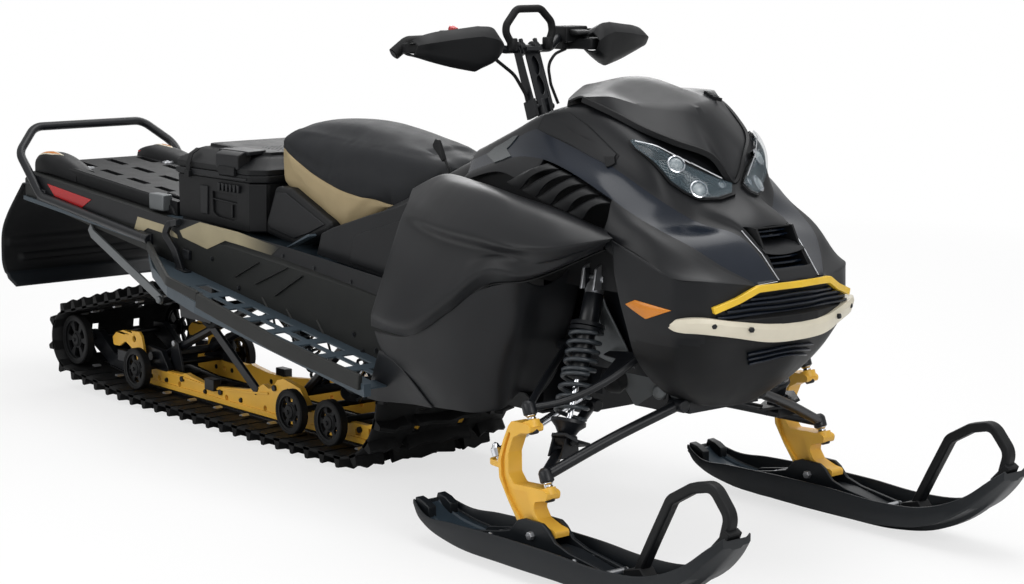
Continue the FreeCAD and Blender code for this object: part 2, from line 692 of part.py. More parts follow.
def make_cargo_box_lid():
    rear, front = -dim.box_rear, -dim.box_front
    half = dim.box_width / 2
    low = dim.box_top + dim.lid_gap
    high = low + dim.lid_height
    inset = dim.lid_height * 0.6
    outer = skin([[at(rear, -half, low), at(rear, half, low), at(front, half, low), at(front, -half, low)],
                  [at(rear, -half, low + inset), at(rear, half, low + inset),
                   at(front, half, low + inset * 0.6), at(front, -half, low + inset * 0.6)],
                  [at(rear + inset, -half + inset, high), at(rear + inset, half - inset, high),
                   at(front - inset, half - inset, high - inset * 0.4),
                   at(front - inset, -half + inset, high - inset * 0.4)]])
    knuckles = []
    for make, share in zip((pin, rod), hinge_shares):
        knuckles.append(hinge_knuckle(make, half * share, dim.knuckle_half, 1))
    add_piece("cargo_box_lid", joined([outer] + knuckles))


# Seat: a crowned cushion that narrows towards the rider's knees

seat_shares = [
    # share of length, half width, side low, side high, crown
    (0.00, 0.78, 0.40, 0.86, 0.93),
    (0.07, 0.92, 0.22, 0.93, 1.00),
    (0.42, 1.00, 0.03, 0.80, 0.88),
    (0.68, 0.86, 0.14, 0.62, 0.70),
    (0.90, 0.66, 0.32, 0.50, 0.56),
    (1.00, 0.50, 0.40, 0.46, 0.50),
]


def make_seat():
    sections = []
    for length_share, half_share, low_share, high_share, crown_share in seat_shares:
        station = spread(-dim.seat_rear, -dim.seat_front, length_share)
        half = dim.seat_half * half_share
        low = spread(dim.seat_low, dim.seat_high, low_share)
        side_high = spread(dim.seat_low, dim.seat_high, high_share)
        crown = spread(dim.seat_low, dim.seat_high, crown_share)
        profile = [(-half * 0.8, low), (-half, spread(low, side_high, 0.5)), (-half * 0.9, side_high),
                   (-half * 0.45, crown), (half * 0.45, crown), (half * 0.9, side_high),
                   (half, spread(low, side_high, 0.5)), (half * 0.8, low)]
        sections.append([at(station, side, height) for side, height in profile])
    add_piece("seat", skin(sections))


console_rear_share = 0.88


def make_console():
    sections = []
    for length_share, _, low_share, _, _ in seat_shares:
        station = spread(-dim.seat_rear, -dim.seat_front, length_share)
        half = dim.console_half * spread(console_rear_share, 1, min(1, length_share * 4))
        base = tunnel_top(station)
        top = spread(dim.seat_low, dim.seat_high, low_share) - dim.seat_gap
        profile = [(-half, base), (-half, spread(base, top, 0.55)), (-dim.seat_half * 0.78, top),
                   (dim.seat_half * 0.78, top), (half, spread(base, top, 0.55)), (half, base)]
        sections.append([at(station, side, height) for side, height in profile])
    add_piece("seat_console", skin(sections))


# Body panels: side panels with a deep fold, hood, windshield, lamps, nose and bumper

panel_shares = [
    # share of length, then (reach share, height share) from the top edge down
    (0.00, [(0.525, 0.78), (0.83, 0.74), (0.90, 0.36), (0.86, 0.31), (0.84, 0.05), (0.64, 0.02)]),
    (0.20, [(0.548, 0.97), (0.88, 0.86), (0.98, 0.34), (0.92, 0.28), (0.88, 0.03), (0.63, 0.00)]),
    (0.47, [(0.600, 0.99), (0.92, 0.86), (1.00, 0.45), (0.88, 0.36), (0.79, 0.05), (0.62, 0.02)]),
    (0.60, [(0.625, 0.98), (0.91, 0.86), (0.98, 0.54), (0.84, 0.46), (0.75, 0.09), (0.68, 0.06)]),
    (0.69, [(0.626, 0.96), (0.90, 0.86), (0.97, 0.60), (0.82, 0.53), (0.76, 0.42), (0.74, 0.40)]),
    (1.00, [(0.583, 0.90), (0.79, 0.88), (0.84, 0.84), (0.76, 0.80), (0.72, 0.75), (0.70, 0.73)]),
]


def make_side_panels():
    sections = []
    for length_share, line in panel_shares:
        station = spread(-dim.panel_rear, dim.panel_front, length_share)
        outside = []
        for reach_share, height_share in line:
            outside.append((-dim.panel_reach * reach_share, spread(dim.panel_low, dim.panel_high, height_share)))
        inside = []
        for number, (side, height) in enumerate(outside):
            drop_share = spread(-1, 1, number / (len(outside) - 1))
            inside.insert(0, (side + dim.panel_wall, height + dim.panel_wall * drop_share))
        sections.append([at(station, side, height) for side, height in outside + inside])
    add_pair("side_panel", skin(sections))


hood_shares = [
    # share of length, low, shoulder half and height, crease half and height, top half and height
    (0.00, 0.42, 0.83, 0.55, 0.59, 0.78, 0.34, 0.85),
    (0.25, 0.42, 0.93, 0.55, 0.69, 0.87, 0.48, 0.95),
    (0.45, 0.42, 1.00, 0.55, 0.76, 0.92, 0.58, 1.00),
    (0.64, 0.40, 0.98, 0.49, 0.72, 0.78, 0.41, 0.88),
    (0.78, 0.26, 0.93, 0.36, 0.59, 0.54, 0.24, 0.61),
    (0.90, 0.12, 0.79, 0.20, 0.48, 0.34, 0.20, 0.38),
    (1.00, 0.00, 0.52, 0.06, 0.34, 0.10, 0.17, 0.12),
]


def make_hood():
    sections = []
    for length_share, low, wide, wide_at, crease, crease_at, top, top_at in hood_shares:
        station = spread(-dim.hood_rear, dim.hood_front, length_share)
        right = []
        for half_share, height_share in ((wide, low), (wide, wide_at), (crease, crease_at), (top, top_at)):
            right.append((-dim.hood_half * half_share, spread(dim.hood_low, dim.hood_high, height_share)))
        profile = right + [(-side, height) for side, height in reversed(right)]
        sections.append([at(station, side, height) for side, height in profile])
    hood = skin(sections)
    hole_start = steer_foot - steer_axis * dim.post_length * 2
    hole_radius = (dim.post_radius + dim.post_clearance) / flat_share
    hole = rod(hole_start, steer_foot + steer_axis * dim.post_length, hole_radius)
    lamp = headlight_shape()
    front = dim.hood_front + dim.overrun
    mouth = block((dim.hood_front - dim.intake_depth, front), (-dim.intake_half, dim.intake_half),
                  [spread(dim.hood_low, dim.hood_high, share) for share in intake_shares])
    slats = []
    for share in slat_shares:
        level = spread(dim.hood_low, dim.hood_high, share)
        slats.append(block((dim.hood_front - dim.intake_depth, front), (-dim.intake_half, dim.intake_half),
                           (level, level + dim.slat_thickness)).common(hood))
    fins = []
    for share in louvre_shares:
        fin = louvre_fin(spread(-dim.hood_rear, dim.hood_front, share))
        fins = fins + [fin, mirrored(fin)]
    open_hood = hood.cut([hole, lamp, mirrored(lamp), mouth])
    add_piece("hood", joined([open_hood] + slats + fins))
    return hood


# heights of the intake and its slats, and the louvre fins' places, as shares of the hood
intake_shares = (0.07, 0.5)
slat_shares = (0.13, 0.21)
louvre_shares = (0.37, 0.425, 0.48, 0.535, 0.59)
louvre_height_shares = (0.64, 0.77)
louvre_half_shares = (0.90, 0.80)


def louvre_fin(station):
    """A fin that stands on the hood's sloping side and leans back."""
    sections = []
    leans = (0, dim.louvre_thickness * 3)
    for height_share, half_share, lean in zip(louvre_height_shares, louvre_half_shares, leans):
        height = spread(dim.hood_low, dim.hood_high, height_share)
        outer = dim.hood_half * half_share + dim.louvre_reach
        inner = outer - dim.louvre_reach * 4
        front = station - lean
        rear = front - dim.louvre_thickness
        sections.append([at(rear, -outer, height), at(front, -outer, height),
                         at(front, -inner, height), at(rear, -inner, height)])
    return skin(sections)


shield_shares = [
    # share of length, half width, side height, middle height
    (0.00, 1.00, 0.97, 1.00),
    (0.35, 0.95, 0.80, 0.86),
    (0.70, 0.60, 0.42, 0.50),
    (1.00, 0.12, 0.02, 0.06),
]


def make_windshield(hood):
    sections = []
    for length_share, half_share, side_share, middle_share in shield_shares:
        station = spread(-dim.shield_rear, dim.shield_front, length_share)
        half = dim.shield_half * half_share
        side = spread(dim.shield_low, dim.shield_high, side_share)
        middle = spread(dim.shield_low, dim.shield_high, middle_share)
        above = [(-half, side), (-half * 0.6, middle), (half * 0.6, middle), (half, side)]
        below = [(half, dim.shield_low - dim.shield_foot), (-half, dim.shield_low - dim.shield_foot)]
        sections.append([at(station, across, height) for across, height in above + below])
    lamp = headlight_shape()
    add_piece("windshield", skin(sections).cut([hood, lamp, mirrored(lamp)]))


headlight_shares = [
    # share of length, then the section's corners as shares of the half width and of the height
    (0.0, [(1.00, 0.835), (0.61, 1.00), (0.61, 0.906), (0.97, 0.748)]),
    (0.6, [(0.87, 0.360), (0.37, 0.568), (0.37, 0.446), (0.84, 0.273)]),
    (1.0, [(0.56, 0.072), (0.11, 0.302), (0.11, 0.187), (0.54, 0.000)]),
]


def headlight_shape():
    sections = []
    for length_share, corners in headlight_shares:
        section = []
        for half_share, height_share in corners:
            section.append(at(dim.headlight_length * length_share, -dim.headlight_half * half_share,
                              spread(dim.headlight_low, dim.headlight_high, height_share)))
        sections.append(section)
    return skin(sections)


def make_headlights():
    add_pair("headlight", headlight_shape())


fascia_shares = [
    # height share, then (length share, half share) from the rear corner to the front
    (0.00, [(0.30, 0.36), (0.38, 0.34), (0.47, 0.20), (0.50, 0.08)]),
    (0.18, [(0.26, 0.50), (0.42, 0.44), (0.62, 0.26), (0.66, 0.10)]),
    (0.50, [(0.12, 0.90), (0.45, 0.74), (0.88, 0.40), (0.92, 0.16)]),
    (0.72, [(0.02, 0.98), (0.50, 0.80), (0.94, 0.44), (0.98, 0.18)]),
]
fascia_top_shares = [(0.00, 0.98), (0.50, 0.78), (0.90, 0.44), (0.94, 0.18)]
grille_shares = (0.78, 0.97)
grille_slat_shares = (0.2, 0.46, 0.72)


def make_fascia():
    sections = []
    for height_share, line in fascia_shares:
        height = spread(dim.fascia_low, dim.fascia_high, height_share)
        right = []
        for length_share, half_share in line:
            right.append((spread(dim.fascia_rear, dim.fascia_front, length_share), -dim.fascia_half * half_share))
        outline = right + [(station, -side) for station, side in reversed(right)]
        sections.append([at(station, side, height) for station, side in outline])
    top = []
    for length_share, half_share in fascia_top_shares:
        station = spread(dim.fascia_rear, dim.fascia_front, length_share)
        rise = (dim.hood_front - station) * dim.fascia_slope
        top.append((station, -dim.fascia_half * half_share, dim.hood_low - dim.seat_gap + rise))
    top = top + [(station, -side, height) for station, side, height in reversed(top)]
    sections.append([at(station, side, height) for station, side, height in top])
    nose = skin(sections)
    heights = [spread(dim.fascia_low, dim.fascia_high, share) for share in grille_shares]
    depths = (dim.fascia_front - dim.grille_depth, dim.fascia_front + dim.overrun)
    sides = (-dim.grille_half, dim.grille_half)
    slats = []
    for share in grille_slat_shares:
        level = spread(heights[0], heights[1], share)
        slats.append(block(depths, sides, (level, level + dim.slat_thickness)).common(nose))
    add_piece("nose_cover", joined([nose.cut(block(depths, sides, heights))] + slats))
    return nose


# share of the nose cover's length, share of its half width, and rise as a share of the bumper's height
bumper_shares = [(0.51, 0.92, 0.75), (0.89, 0.645, 0.1), (1.045, 0.297, 0)]
bumper_flare_share = 0.03


def make_bumper(nose):
    depth = dim.bumper_depth
    high = dim.bumper_height / 2
    right = []
    for length_share, half_share, rise_share in bumper_shares:
        right.append((spread(dim.fascia_rear, dim.fascia_front, length_share), -dim.fascia_half * half_share,
                      dim.bumper_level + dim.bumper_height * rise_share))
    sections = []
    for station, side, level in right + [(station, -side, level) for station, side, level in reversed(right)]:
        flare = side * bumper_flare_share
        sections.append([at(station, side, level - high), at(station + depth / 2, side + flare, level),
                         at(station, side, level + high), at(station - depth / 2, side - flare, level)])
    add_piece("front_bumper", skin(sections).cut(nose))


def make_belly_pan():
    sections = []
    half = dim.tunnel_width / 2
    floor_half = half - dim.belly_side
    low = dim.belly_low
    high = low + dim.belly_side
    wall = dim.belly_wall
    for station in (-dim.belly_rear, -dim.belly_front):
        profile = [(-half, high), (-floor_half, low), (floor_half, low), (half, high),
                   (half - wall, high), (floor_half - wall, low + wall), (-floor_half + wall, low + wall),
                   (-half + wall, high)]
        sections.append([at(station, side, height) for side, height in profile])
    add_piece("belly_pan", skin(sections))


def make_engine():
    engine = doc.addObject("Part::Box", "engine")
    engine.setExpression("Length", "sizes.engine_length")
    engine.setExpression("Width", "sizes.tunnel_width - 2 * sizes.engine_inset")
    engine.setExpression("Height", "sizes.engine_height")
    engine.setExpression("Placement.Base.x", "sizes.ski_pin_x - sizes.engine_station - sizes.engine_length")
    engine.setExpression("Placement.Base.y", "sizes.engine_inset - sizes.tunnel_width / 2")
    engine.setExpression("Placement.Base.z", "sizes.belly_low + sizes.belly_wall")
    register(engine, "engine_block")


# Front suspension

lower_front = at(dim.lower_pivot_front, -dim.lower_pivot_side, dim.lower_pivot_height)
lower_rear = at(-dim.lower_pivot_rear, -dim.lower_pivot_side, dim.lower_pivot_height - dim.lower_pivot_fall)
upper_front = at(dim.upper_pivot_front, -dim.upper_pivot_side, dim.upper_pivot_height)
upper_rear = at(-dim.upper_pivot_rear, -dim.upper_pivot_side, dim.upper_pivot_height - dim.upper_pivot_fall)
arm_lift = kingpin_axis * (dim.stud_reach + dim.seat_gap + dim.ball_radius)
arm_low_end = kingpin_low + arm_lift
arm_high_end = kingpin_high + arm_lift
# the shock's lower eye sits over the lower arm, this far out and this far from its front leg
shock_out_share = 0.69
shock_leg_share = 0.8
shock_top = at(-dim.shock_top_station, -dim.shock_top_side, dim.shock_top_height)
shock_seat = spread(spread(lower_front, arm_low_end, shock_out_share),
                    spread(lower_rear, arm_low_end, shock_out_share), shock_leg_share)
shock_foot = shock_seat + FreeCAD.Vector(0, 0, dim.shock_lift)


def shock_ears(eye, low, high, inward, outward):
    """Two ears along the machine, one each side of a shock eye."""
    ears = []
    near = dim.pivot_radius + dim.seat_gap
    for start, end in ((-near - dim.shock_ear, -near), (near, near + dim.shock_ear)):
        corner = FreeCAD.Vector(eye.x + start, eye.y - outward, low)
        ears.append(Part.makeBox(end - start, inward + outward, high - low, corner))
    return ears


def make_front_arms():
    shapes = []
    for front, rear, end, radius in ((lower_front, lower_rear, arm_low_end, dim.lower_arm_radius),
                                     (upper_front, upper_rear, arm_high_end, dim.upper_arm_radius)):
        pieces_of_arm = [rod(front, end, radius), rod(rear, end, radius)]
        half = FreeCAD.Vector(dim.pivot_length / 2, 0, 0)
        for middle in (front, rear):
            pieces_of_arm.append(rod(middle - half, middle + half, dim.pivot_radius))
        housing = kingpin_axis * dim.ball_radius
        pieces_of_arm.append(rod(end - housing, end + housing, dim.ball_radius))
        shapes.append(pieces_of_arm)
    half = dim.pivot_radius
    floor = shock_foot.z - half - dim.seat_gap
    reach = half + dim.seat_gap + dim.shock_ear
    saddle = Part.makeBox(reach * 2, half * 2, dim.lower_arm_radius,
                          shock_foot - FreeCAD.Vector(reach, half, shock_foot.z - floor + dim.lower_arm_radius))
    ears = shock_ears(shock_foot, floor - dim.shock_ear, shock_foot.z + half, half, half)
    shapes[0] = shapes[0] + [saddle] + ears
    add_pair("front_arms", Part.makeCompound([joined(shape) for shape in shapes]))


spring_shares = (0.42, 0.9)
spring_turns = 5
spring_steps = 7


def spring_shape(top, along, length):
    """A coil from the collar to the cup: rings of a wire set along a helix."""
    across = along.cross(FreeCAD.Vector(0, 1, 0)).normalize()
    third = along.cross(across)
    count = spring_turns * spring_steps
    line = []
    for number in range(count + 1):
        angle = 2 * math.pi * number / spring_steps
        reach = length * spread(spring_shares[0], spring_shares[1], number / count)
        spin = across * math.cos(angle) + third * math.sin(angle)
        line.append(top + along * reach + spin * dim.spring_radius)
    sections = []
    for number, middle in enumerate(line):
        way = line[min(number + 1, count)] - line[max(number - 1, 0)]
        radial = (middle - top) - along * (middle - top).dot(along)
        radial = radial.normalize()
        upward = way.cross(radial).normalize()
        wire = dim.spring_wire
        sections.append([middle + radial * wire, middle + upward * wire,
                         middle - radial * wire, middle - upward * wire])
    return skin(sections)


def make_ski_shocks():
    top, foot = shock_top, shock_foot
    along = (foot - top).normalize()
    length = (foot - top).Length
    body = rod(top + along * dim.pivot_radius * 2.4, top + along * length * 0.62, dim.ski_shock_radius)
    shaft = rod(top, foot, dim.stud_radius)
    collars = []
    for share in spring_shares:
        middle = top + along * length * share
        half = along * dim.spring_wire
        collars.append(rod(middle - half, middle + half, dim.spring_radius + dim.spring_wire))
    eyes = []
    for point in (top, foot):
        half = FreeCAD.Vector(dim.pivot_radius, 0, 0)
        eyes.append(rod(point - half, point + half, dim.pivot_radius))
    add_pair("ski_shock", joined([body, shaft, spring_shape(top, along, length)] + collars + eyes))


# the towers' outline as shares of the subframe's length and of its height above the shelf
tower_shares = [(0, 0), (0.96, 0), (1, 0.31), (0.864, 0.46), (0.607, 1), (0.466, 1), (0.34, 0.46), (0, 0.31)]


def make_subframe():
    half = dim.subframe_half
    rear_end = -dim.belly_front
    front_end = dim.lower_pivot_front - dim.pivot_length / 2
    nose_end = dim.upper_pivot_front + dim.pivot_length * 0.7
    waist = -dim.lower_pivot_rear + dim.pivot_length * 3.6
    inner = dim.lower_pivot_side - dim.pivot_radius - dim.seat_gap
    front = block((waist, front_end), (-half, half), (dim.subframe_low, dim.subframe_high))
    rear = block((rear_end, -dim.lower_pivot_rear - dim.pivot_length / 2), (-half, half),
                 (dim.belly_low, dim.subframe_high))
    spines = []
    # open between the two pivots, where the tie rods' inner ends swing
    for low_end, high_end in ((rear_end, -dim.lower_pivot_rear + dim.pivot_length / 2),
                              (waist, front_end + dim.pivot_length)):
        spines.append(block((low_end, high_end), (-inner, inner), (dim.subframe_low, dim.subframe_high)))
    shelf_low = dim.subframe_high - dim.subframe_sheet
    shelf = block((rear_end, front_end), (-dim.shelf_half, dim.shelf_half), (shelf_low, dim.subframe_high))
    line = []
    for length_share, height_share in tower_shares:
        line.append((spread(rear_end, nose_end, length_share), spread(shelf_low, dim.tower_high, height_share)))
    outer = -dim.upper_pivot_side + dim.pivot_radius + dim.seat_gap
    tower = side_plate(line, outer, outer + dim.tower_sheet)
    ear_half = dim.pivot_radius * 1.6
    inward = dim.shock_top_side + outer + dim.tower_sheet / 2
    ears = shock_ears(shock_top, shock_top.z - ear_half, shock_top.z + ear_half, inward, ear_half)
    right = joined([tower] + ears)
    add_piece("front_subframe", joined([front, rear, shelf, right, mirrored(right)] + spines))


# Steered pieces: spindle, ski with its loop, tie rod

tie_eye = at(-dim.tie_eye_station, -ski_side, dim.tie_eye_height)
tie_inner = at(-dim.tie_inner_station, -dim.tie_inner_side, dim.tie_inner_height)


def spindle_line():
    """The spindle's C-shaped side view: toe, back, upper ear, throat and lower ear."""
    back, bolt = dim.spindle_back, dim.ski_bolt_height
    low, high = dim.kingpin_low_height, dim.kingpin_high_height
    ear = dim.ear_thickness
    low_end = dim.kingpin_low_station + dim.ear_width / 2
    high_end = dim.ear_width / 2 - dim.kingpin_high_station
    toe = [(back * 0.5, bolt * 1.03), (back * 0.1, bolt * 0.87), (-back * 0.22, bolt * 0.91),
           (-back * 0.46, bolt * 1.15)]
    spine = [(-back * 0.74, spread(bolt, low, 0.62)), (-back * 0.97, spread(low, high, 0.06)),
             (-back, spread(low, high, 0.34)), (-back * 0.87, spread(low, high, 0.66)),
             (-back * 0.72, high - ear * 0.5), (-back * 0.6, high)]
    upper_ear = [(high_end, high), (high_end, high - ear), (-back * 0.59, high - ear * 1.8)]
    throat = [(-back * 0.735, spread(low, high, 0.47)), (-back * 0.72, spread(low, high, 0.15)),
              (-back * 0.57, low + ear * 0.2)]
    lower_ear = [(low_end, low + ear * 0.2), (low_end, low - ear * 0.8), (-back * 0.09, spread(bolt, low, 0.68)),
                 (back * 0.06, spread(bolt, low, 0.36)), (back * 0.32, bolt * 1.26), (back * 0.51, bolt * 1.2)]
    return toe + spine + upper_ear + throat + lower_ear


def make_spindles():
    half = dim.spindle_thickness / 2
    spindle = side_plate(spindle_line(), -ski_side - half, -ski_side + half)
    studs = [pin(kingpin_low - kingpin_axis * dim.stud_radius, kingpin_low + kingpin_axis * dim.stud_reach,
                 dim.stud_radius),
             rod(kingpin_high - kingpin_axis * dim.ear_thickness * 1.5,
                 kingpin_high + kingpin_axis * dim.stud_reach, dim.stud_radius)]
    ring, ring_half = dim.tie_ring_radius, dim.tie_ring_half
    ear = block((-dim.tie_eye_station - ring * 1.3, -dim.spindle_back * 0.94),
                (-ski_side - ring * 1.1, -ski_side + ring * 1.1),
                (dim.tie_eye_height - ring_half * 3.3, dim.tie_eye_height - ring_half * 1.8))
    studs.append(pin(tie_eye - kingpin_axis * ring_half * 2.2,
                     tie_eye - kingpin_axis * (ring_half + dim.seat_gap), dim.stud_radius))
    hole_radius = (dim.ski_bolt_radius + dim.seat_gap) / flat_share
    hole = cross_bar(0, dim.ski_bolt_height, dim.ski_stance, hole_radius)
    add_pair("spindle", joined([spindle, ear] + studs).cut(hole))


ski_rear_shares = [
    # share of the tail, half width, then heights over the tip's: keel bottom, edge rise, floor, side top
    (-1.0, 0.60, 0.378, 0.018, 0.437, 0.464),
    (-0.84, 0.85, 0.207, 0.036, 0.270, 0.351),
    (-0.58, 0.95, 0.054, 0.090, 0.198, 0.378),
    (-0.12, 1.00, 0.000, 0.126, 0.198, 0.405),
]
ski_front_shares = [
    # share of the reach, then as above
    (0.19, 1.00, 0.000, 0.126, 0.198, 0.405),
    (0.44, 0.97, 0.018, 0.108, 0.216, 0.378),
    (0.66, 0.94, 0.135, 0.090, 0.306, 0.441),
    (0.86, 0.85, 0.450, 0.063, 0.604, 0.676),
    (1.0, 0.55, 0.856, 0.036, 0.964, 1.000),
]
# the saddle walls' outline: share of the tail or of the reach, share of the bolt's height
saddle_shares = [(-0.58, 0.41), (-0.53, 0.64), (-0.185, 0.95), (-0.093, 1.32), (0.079, 1.32), (0.19, 0.87),
                 (0.41, 0.64), (0.443, 0.41)]
# the loop's corners from its front foot: share of the reach, share of the loop's height
loop_shares = [(0.949, 0.636), (0.976, 0.794), (0.889, 0.96), (0.696, 0.794), (0.522, 0.182)]


def ski_station(share):
    """A share of the ski's tail where negative, of its reach where positive."""
    return share * (dim.ski_tail if share < 0 else dim.ski_reach)


def ski_section(station, half, keel_low, edge_rise, floor, side_top):
    keel = min(dim.ski_keel, half / 2)
    wall = dim.ski_wall
    right = [(-keel, keel_low), (-half, keel_low + edge_rise), (-half, side_top), (-half + wall, side_top),
             (-half + wall, floor)]
    profile = right + [(-side, height) for side, height in reversed(right)]
    return [at(station, -ski_side + side, height) for side, height in profile]


def make_skis():
    sections = []
    for share, half_share, *height_shares in ski_rear_shares + ski_front_shares:
        heights = [dim.ski_tip_height * height_share for height_share in height_shares]
        sections.append(ski_section(ski_station(share), dim.ski_half * half_share, *heights))
    ski = skin(sections)
    walls = []
    inner = dim.spindle_thickness / 2 + dim.saddle_gap
    line = [(ski_station(share), dim.ski_bolt_height * height_share) for share, height_share in saddle_shares]
    for side in (-1, 1):
        edges = sorted((-ski_side + side * inner, -ski_side + side * (inner + dim.saddle_wall)))
        walls.append(side_plate(line, edges[0], edges[1]))
    bolt_half = inner + dim.saddle_wall * 1.9
    bolt_ends = [at(0, side, dim.ski_bolt_height) for side in (-ski_side - bolt_half, -ski_side + bolt_half)]
    bolt = rod(bolt_ends[0], bolt_ends[1], dim.ski_bolt_radius)
    corners = []
    for share, height_share in loop_shares:
        corners.append(at(ski_station(share), -ski_side, dim.loop_top * height_share))
    loop = bent_tube(corners, dim.loop_radius, dim.loop_corner)
    add_pair("ski", joined([ski] + walls + [bolt, loop]))


def make_tie_rods():
    half = kingpin_axis * dim.tie_ring_half
    ring = rod(tie_eye - half, tie_eye + half, dim.tie_ring_radius)
    add_pair("tie_rod", joined([rod(tie_eye, tie_inner, dim.tie_rod_radius), ring]))


# Handlebar


riser_shares = [(0, 0.75), (0.45, 0.8), (1, 1.1)]
riser_window_shares = (0.3, 0.62)


def make_handlebar():
    top = steer_foot + steer_axis * dim.riser_length
    half = dim.handlebar_half
    end = top - FreeCAD.Vector(dim.bar_sweep, 0, dim.bar_drop)
    across = FreeCAD.Vector(0, 1, 0)
    ends = [end - across * half, top - across * dim.bar_straight, top + across * dim.bar_straight,
            end + across * half]
    bar = bent_tube(ends, dim.grip_bar_radius, dim.bar_corner)
    grips = []
    for start, inner in ((ends[0], ends[1]), (ends[3], ends[2])):
        along = (inner - start).normalize()
        grips.append(rod(start, start + along * dim.grip_length, dim.grip_radius))
    width, depth = dim.riser_width / 2, dim.riser_depth / 2
    forward = FreeCAD.Vector(math.cos(steer_lean), 0, math.sin(steer_lean))
    sections = []
    for height_share, half_share in riser_shares:
        middle = steer_foot + steer_axis * dim.riser_length * height_share
        sections.append([middle - forward * depth - across * width * half_share,
                         middle + forward * depth - across * width * half_share,
                         middle + forward * depth + across * width * half_share,
                         middle - forward * depth + across * width * half_share])
    windows = []
    for share in riser_window_shares:
        middle = steer_foot + steer_axis * dim.riser_length * share
        windows.append(rod(middle - forward * depth * 2, middle + forward * depth * 2, dim.riser_window, 6))
    riser = skin(sections).cut(windows)
    post = pin(steer_foot - steer_axis * dim.post_length, steer_foot, dim.post_radius)
    handlebar = joined([bar, riser, post] + grips)
    add_piece("handlebar", handlebar)
    return handlebar


def make_strap():
    top = steer_foot + steer_axis * dim.riser_length
    half = dim.strap_width / 2
    low = top.z + dim.grip_bar_radius * flat_share + dim.seat_gap
    high = low + dim.strap_height
    points = [FreeCAD.Vector(top.x, -half, low), FreeCAD.Vector(top.x, -half, spread(low, high, 0.6)),
              FreeCAD.Vector(top.x, -half * 0.5, high), FreeCAD.Vector(top.x, half * 0.5, high),
              FreeCAD.Vector(top.x, half, spread(low, high, 0.6)), FreeCAD.Vector(top.x, half, low)]
    add_piece("grab_strap", bent_tube(points, dim.strap_radius, dim.strap_corner))


# each row: share of the way from inner to outer edge, rear and front as shares of the reach ahead of the bar,
# lower and upper edge as shares of the guard's height
guard_shares = [(0, 0.55, 0.76, 0.19, 0.9), (0.41, 0.76, 1.0, 0, 1), (1, 0.33, 0.6, 0.17, 0.88)]
guard_bridge_share = 0.72


def make_hand_guards(handlebar):
    top = steer_foot + steer_axis * dim.riser_length
    low = top.z - dim.guard_drop
    sections = []
    for side_share, rear_share, front_share, low_share, high_share in guard_shares:
        side = -spread(dim.guard_inner, dim.handlebar_half, side_share)
        rear, front = top.x + dim.guard_reach * rear_share, top.x + dim.guard_reach * front_share
        lower, upper = low + dim.guard_height * low_share, low + dim.guard_height * high_share
        sections.append([FreeCAD.Vector(rear, side, lower), FreeCAD.Vector(front, side, lower),
                         FreeCAD.Vector(front, side, upper), FreeCAD.Vector(rear, side, upper)])
    width = dim.grip_bar_radius
    corner = FreeCAD.Vector(top.x - dim.bar_sweep + width, -dim.guard_inner - width, top.z - width * 1.4)
    bridge = Part.makeBox(dim.bar_sweep + dim.guard_reach * guard_bridge_share - width, width, width * 2, corner)
    shape = joined([skin(sections), bridge])
    guards = [shape.cut(handlebar), mirrored(shape).cut(handlebar)]
    add_piece("hand_guards", Part.makeCompound(guards))


# Track, wheels, rails and rear suspension


belt_low = dim.rail_wheel_height - dim.rail_wheel_radius


wheel_sides = 12


def belt_circles(offset):
    """The circles that the belt runs round, each grown by an offset: centre and radius."""
    return [
        (-dim.rear_wheel_station, dim.rear_wheel_height, dim.rear_wheel_radius + offset),
        (-dim.rail_wheel_back, dim.rail_wheel_height, dim.rail_wheel_radius + offset),
        (-dim.rail_bend_station, belt_low + dim.rail_bend_radius, dim.rail_bend_radius + offset),
        (-dim.drive_station, dim.drive_height, dim.sprocket_radius + offset),
        (-dim.carry_wheel_station, dim.carry_wheel_height, dim.rail_wheel_radius + offset),
    ]


def tangent_normal(first, second):
    """The normal's heading on the outer tangent of one circle and the next, going round anticlockwise."""
    (first_x, first_z, first_r), (second_x, second_z, second_r) = first, second
    apart = math.hypot(second_x - first_x, second_z - first_z)
    heading = math.atan2(second_z - first_z, second_x - first_x)
    return heading - math.pi / 2 + math.asin((first_r - second_r) / apart)


def belt_line(offset, arc_step=0.35):
    """Corners of the belt's loop at an offset from the wheels: a round stretch is a run of equal tangents."""
    circles = belt_circles(offset)
    normals = [tangent_normal(circle, circles[(index + 1) % len(circles)])
               for index, circle in enumerate(circles)]
    points = []
    for index, (middle_x, middle_z, radius) in enumerate(circles):
        turn = (normals[index] - normals[index - 1]) % (2 * math.pi)
        steps = max(1, round(turn / arc_step))
        reach = radius / math.cos(turn / steps / 2)
        for step in range(steps):
            angle = normals[index - 1] + turn * (step + 0.5) / steps
            points.append((middle_x + reach * math.cos(angle), middle_z + reach * math.sin(angle)))
    return points


def along_line(points):
    """Cumulative lengths of a closed line."""
    lengths = [0]
    for first, second in zip(points, points[1:] + points[:1]):
        lengths.append(lengths[-1] + math.hypot(second[0] - first[0], second[1] - first[1]))
    return lengths


def point_on(points, lengths, distance):
    """A place on a closed line with its outward direction."""
    distance = distance % lengths[-1]
    for index, (low, high) in enumerate(zip(lengths, lengths[1:])):
        if distance <= high and high > low:
            first, second = points[index], points[(index + 1) % len(points)]
            share = (distance - low) / (high - low)
            length = high - low
            along = ((second[0] - first[0]) / length, (second[1] - first[1]) / length)
            place = (spread(first[0], second[0], share), spread(first[1], second[1], share))
            return place, along, (along[1], -along[0])
    return None


def belt_ring(outer_points, inner_points, low_side, high_side):
    outer = side_plate(outer_points, low_side, high_side)
    inner = side_plate(inner_points, low_side - dim.overrun, high_side + dim.overrun)
    return outer.cut(inner)


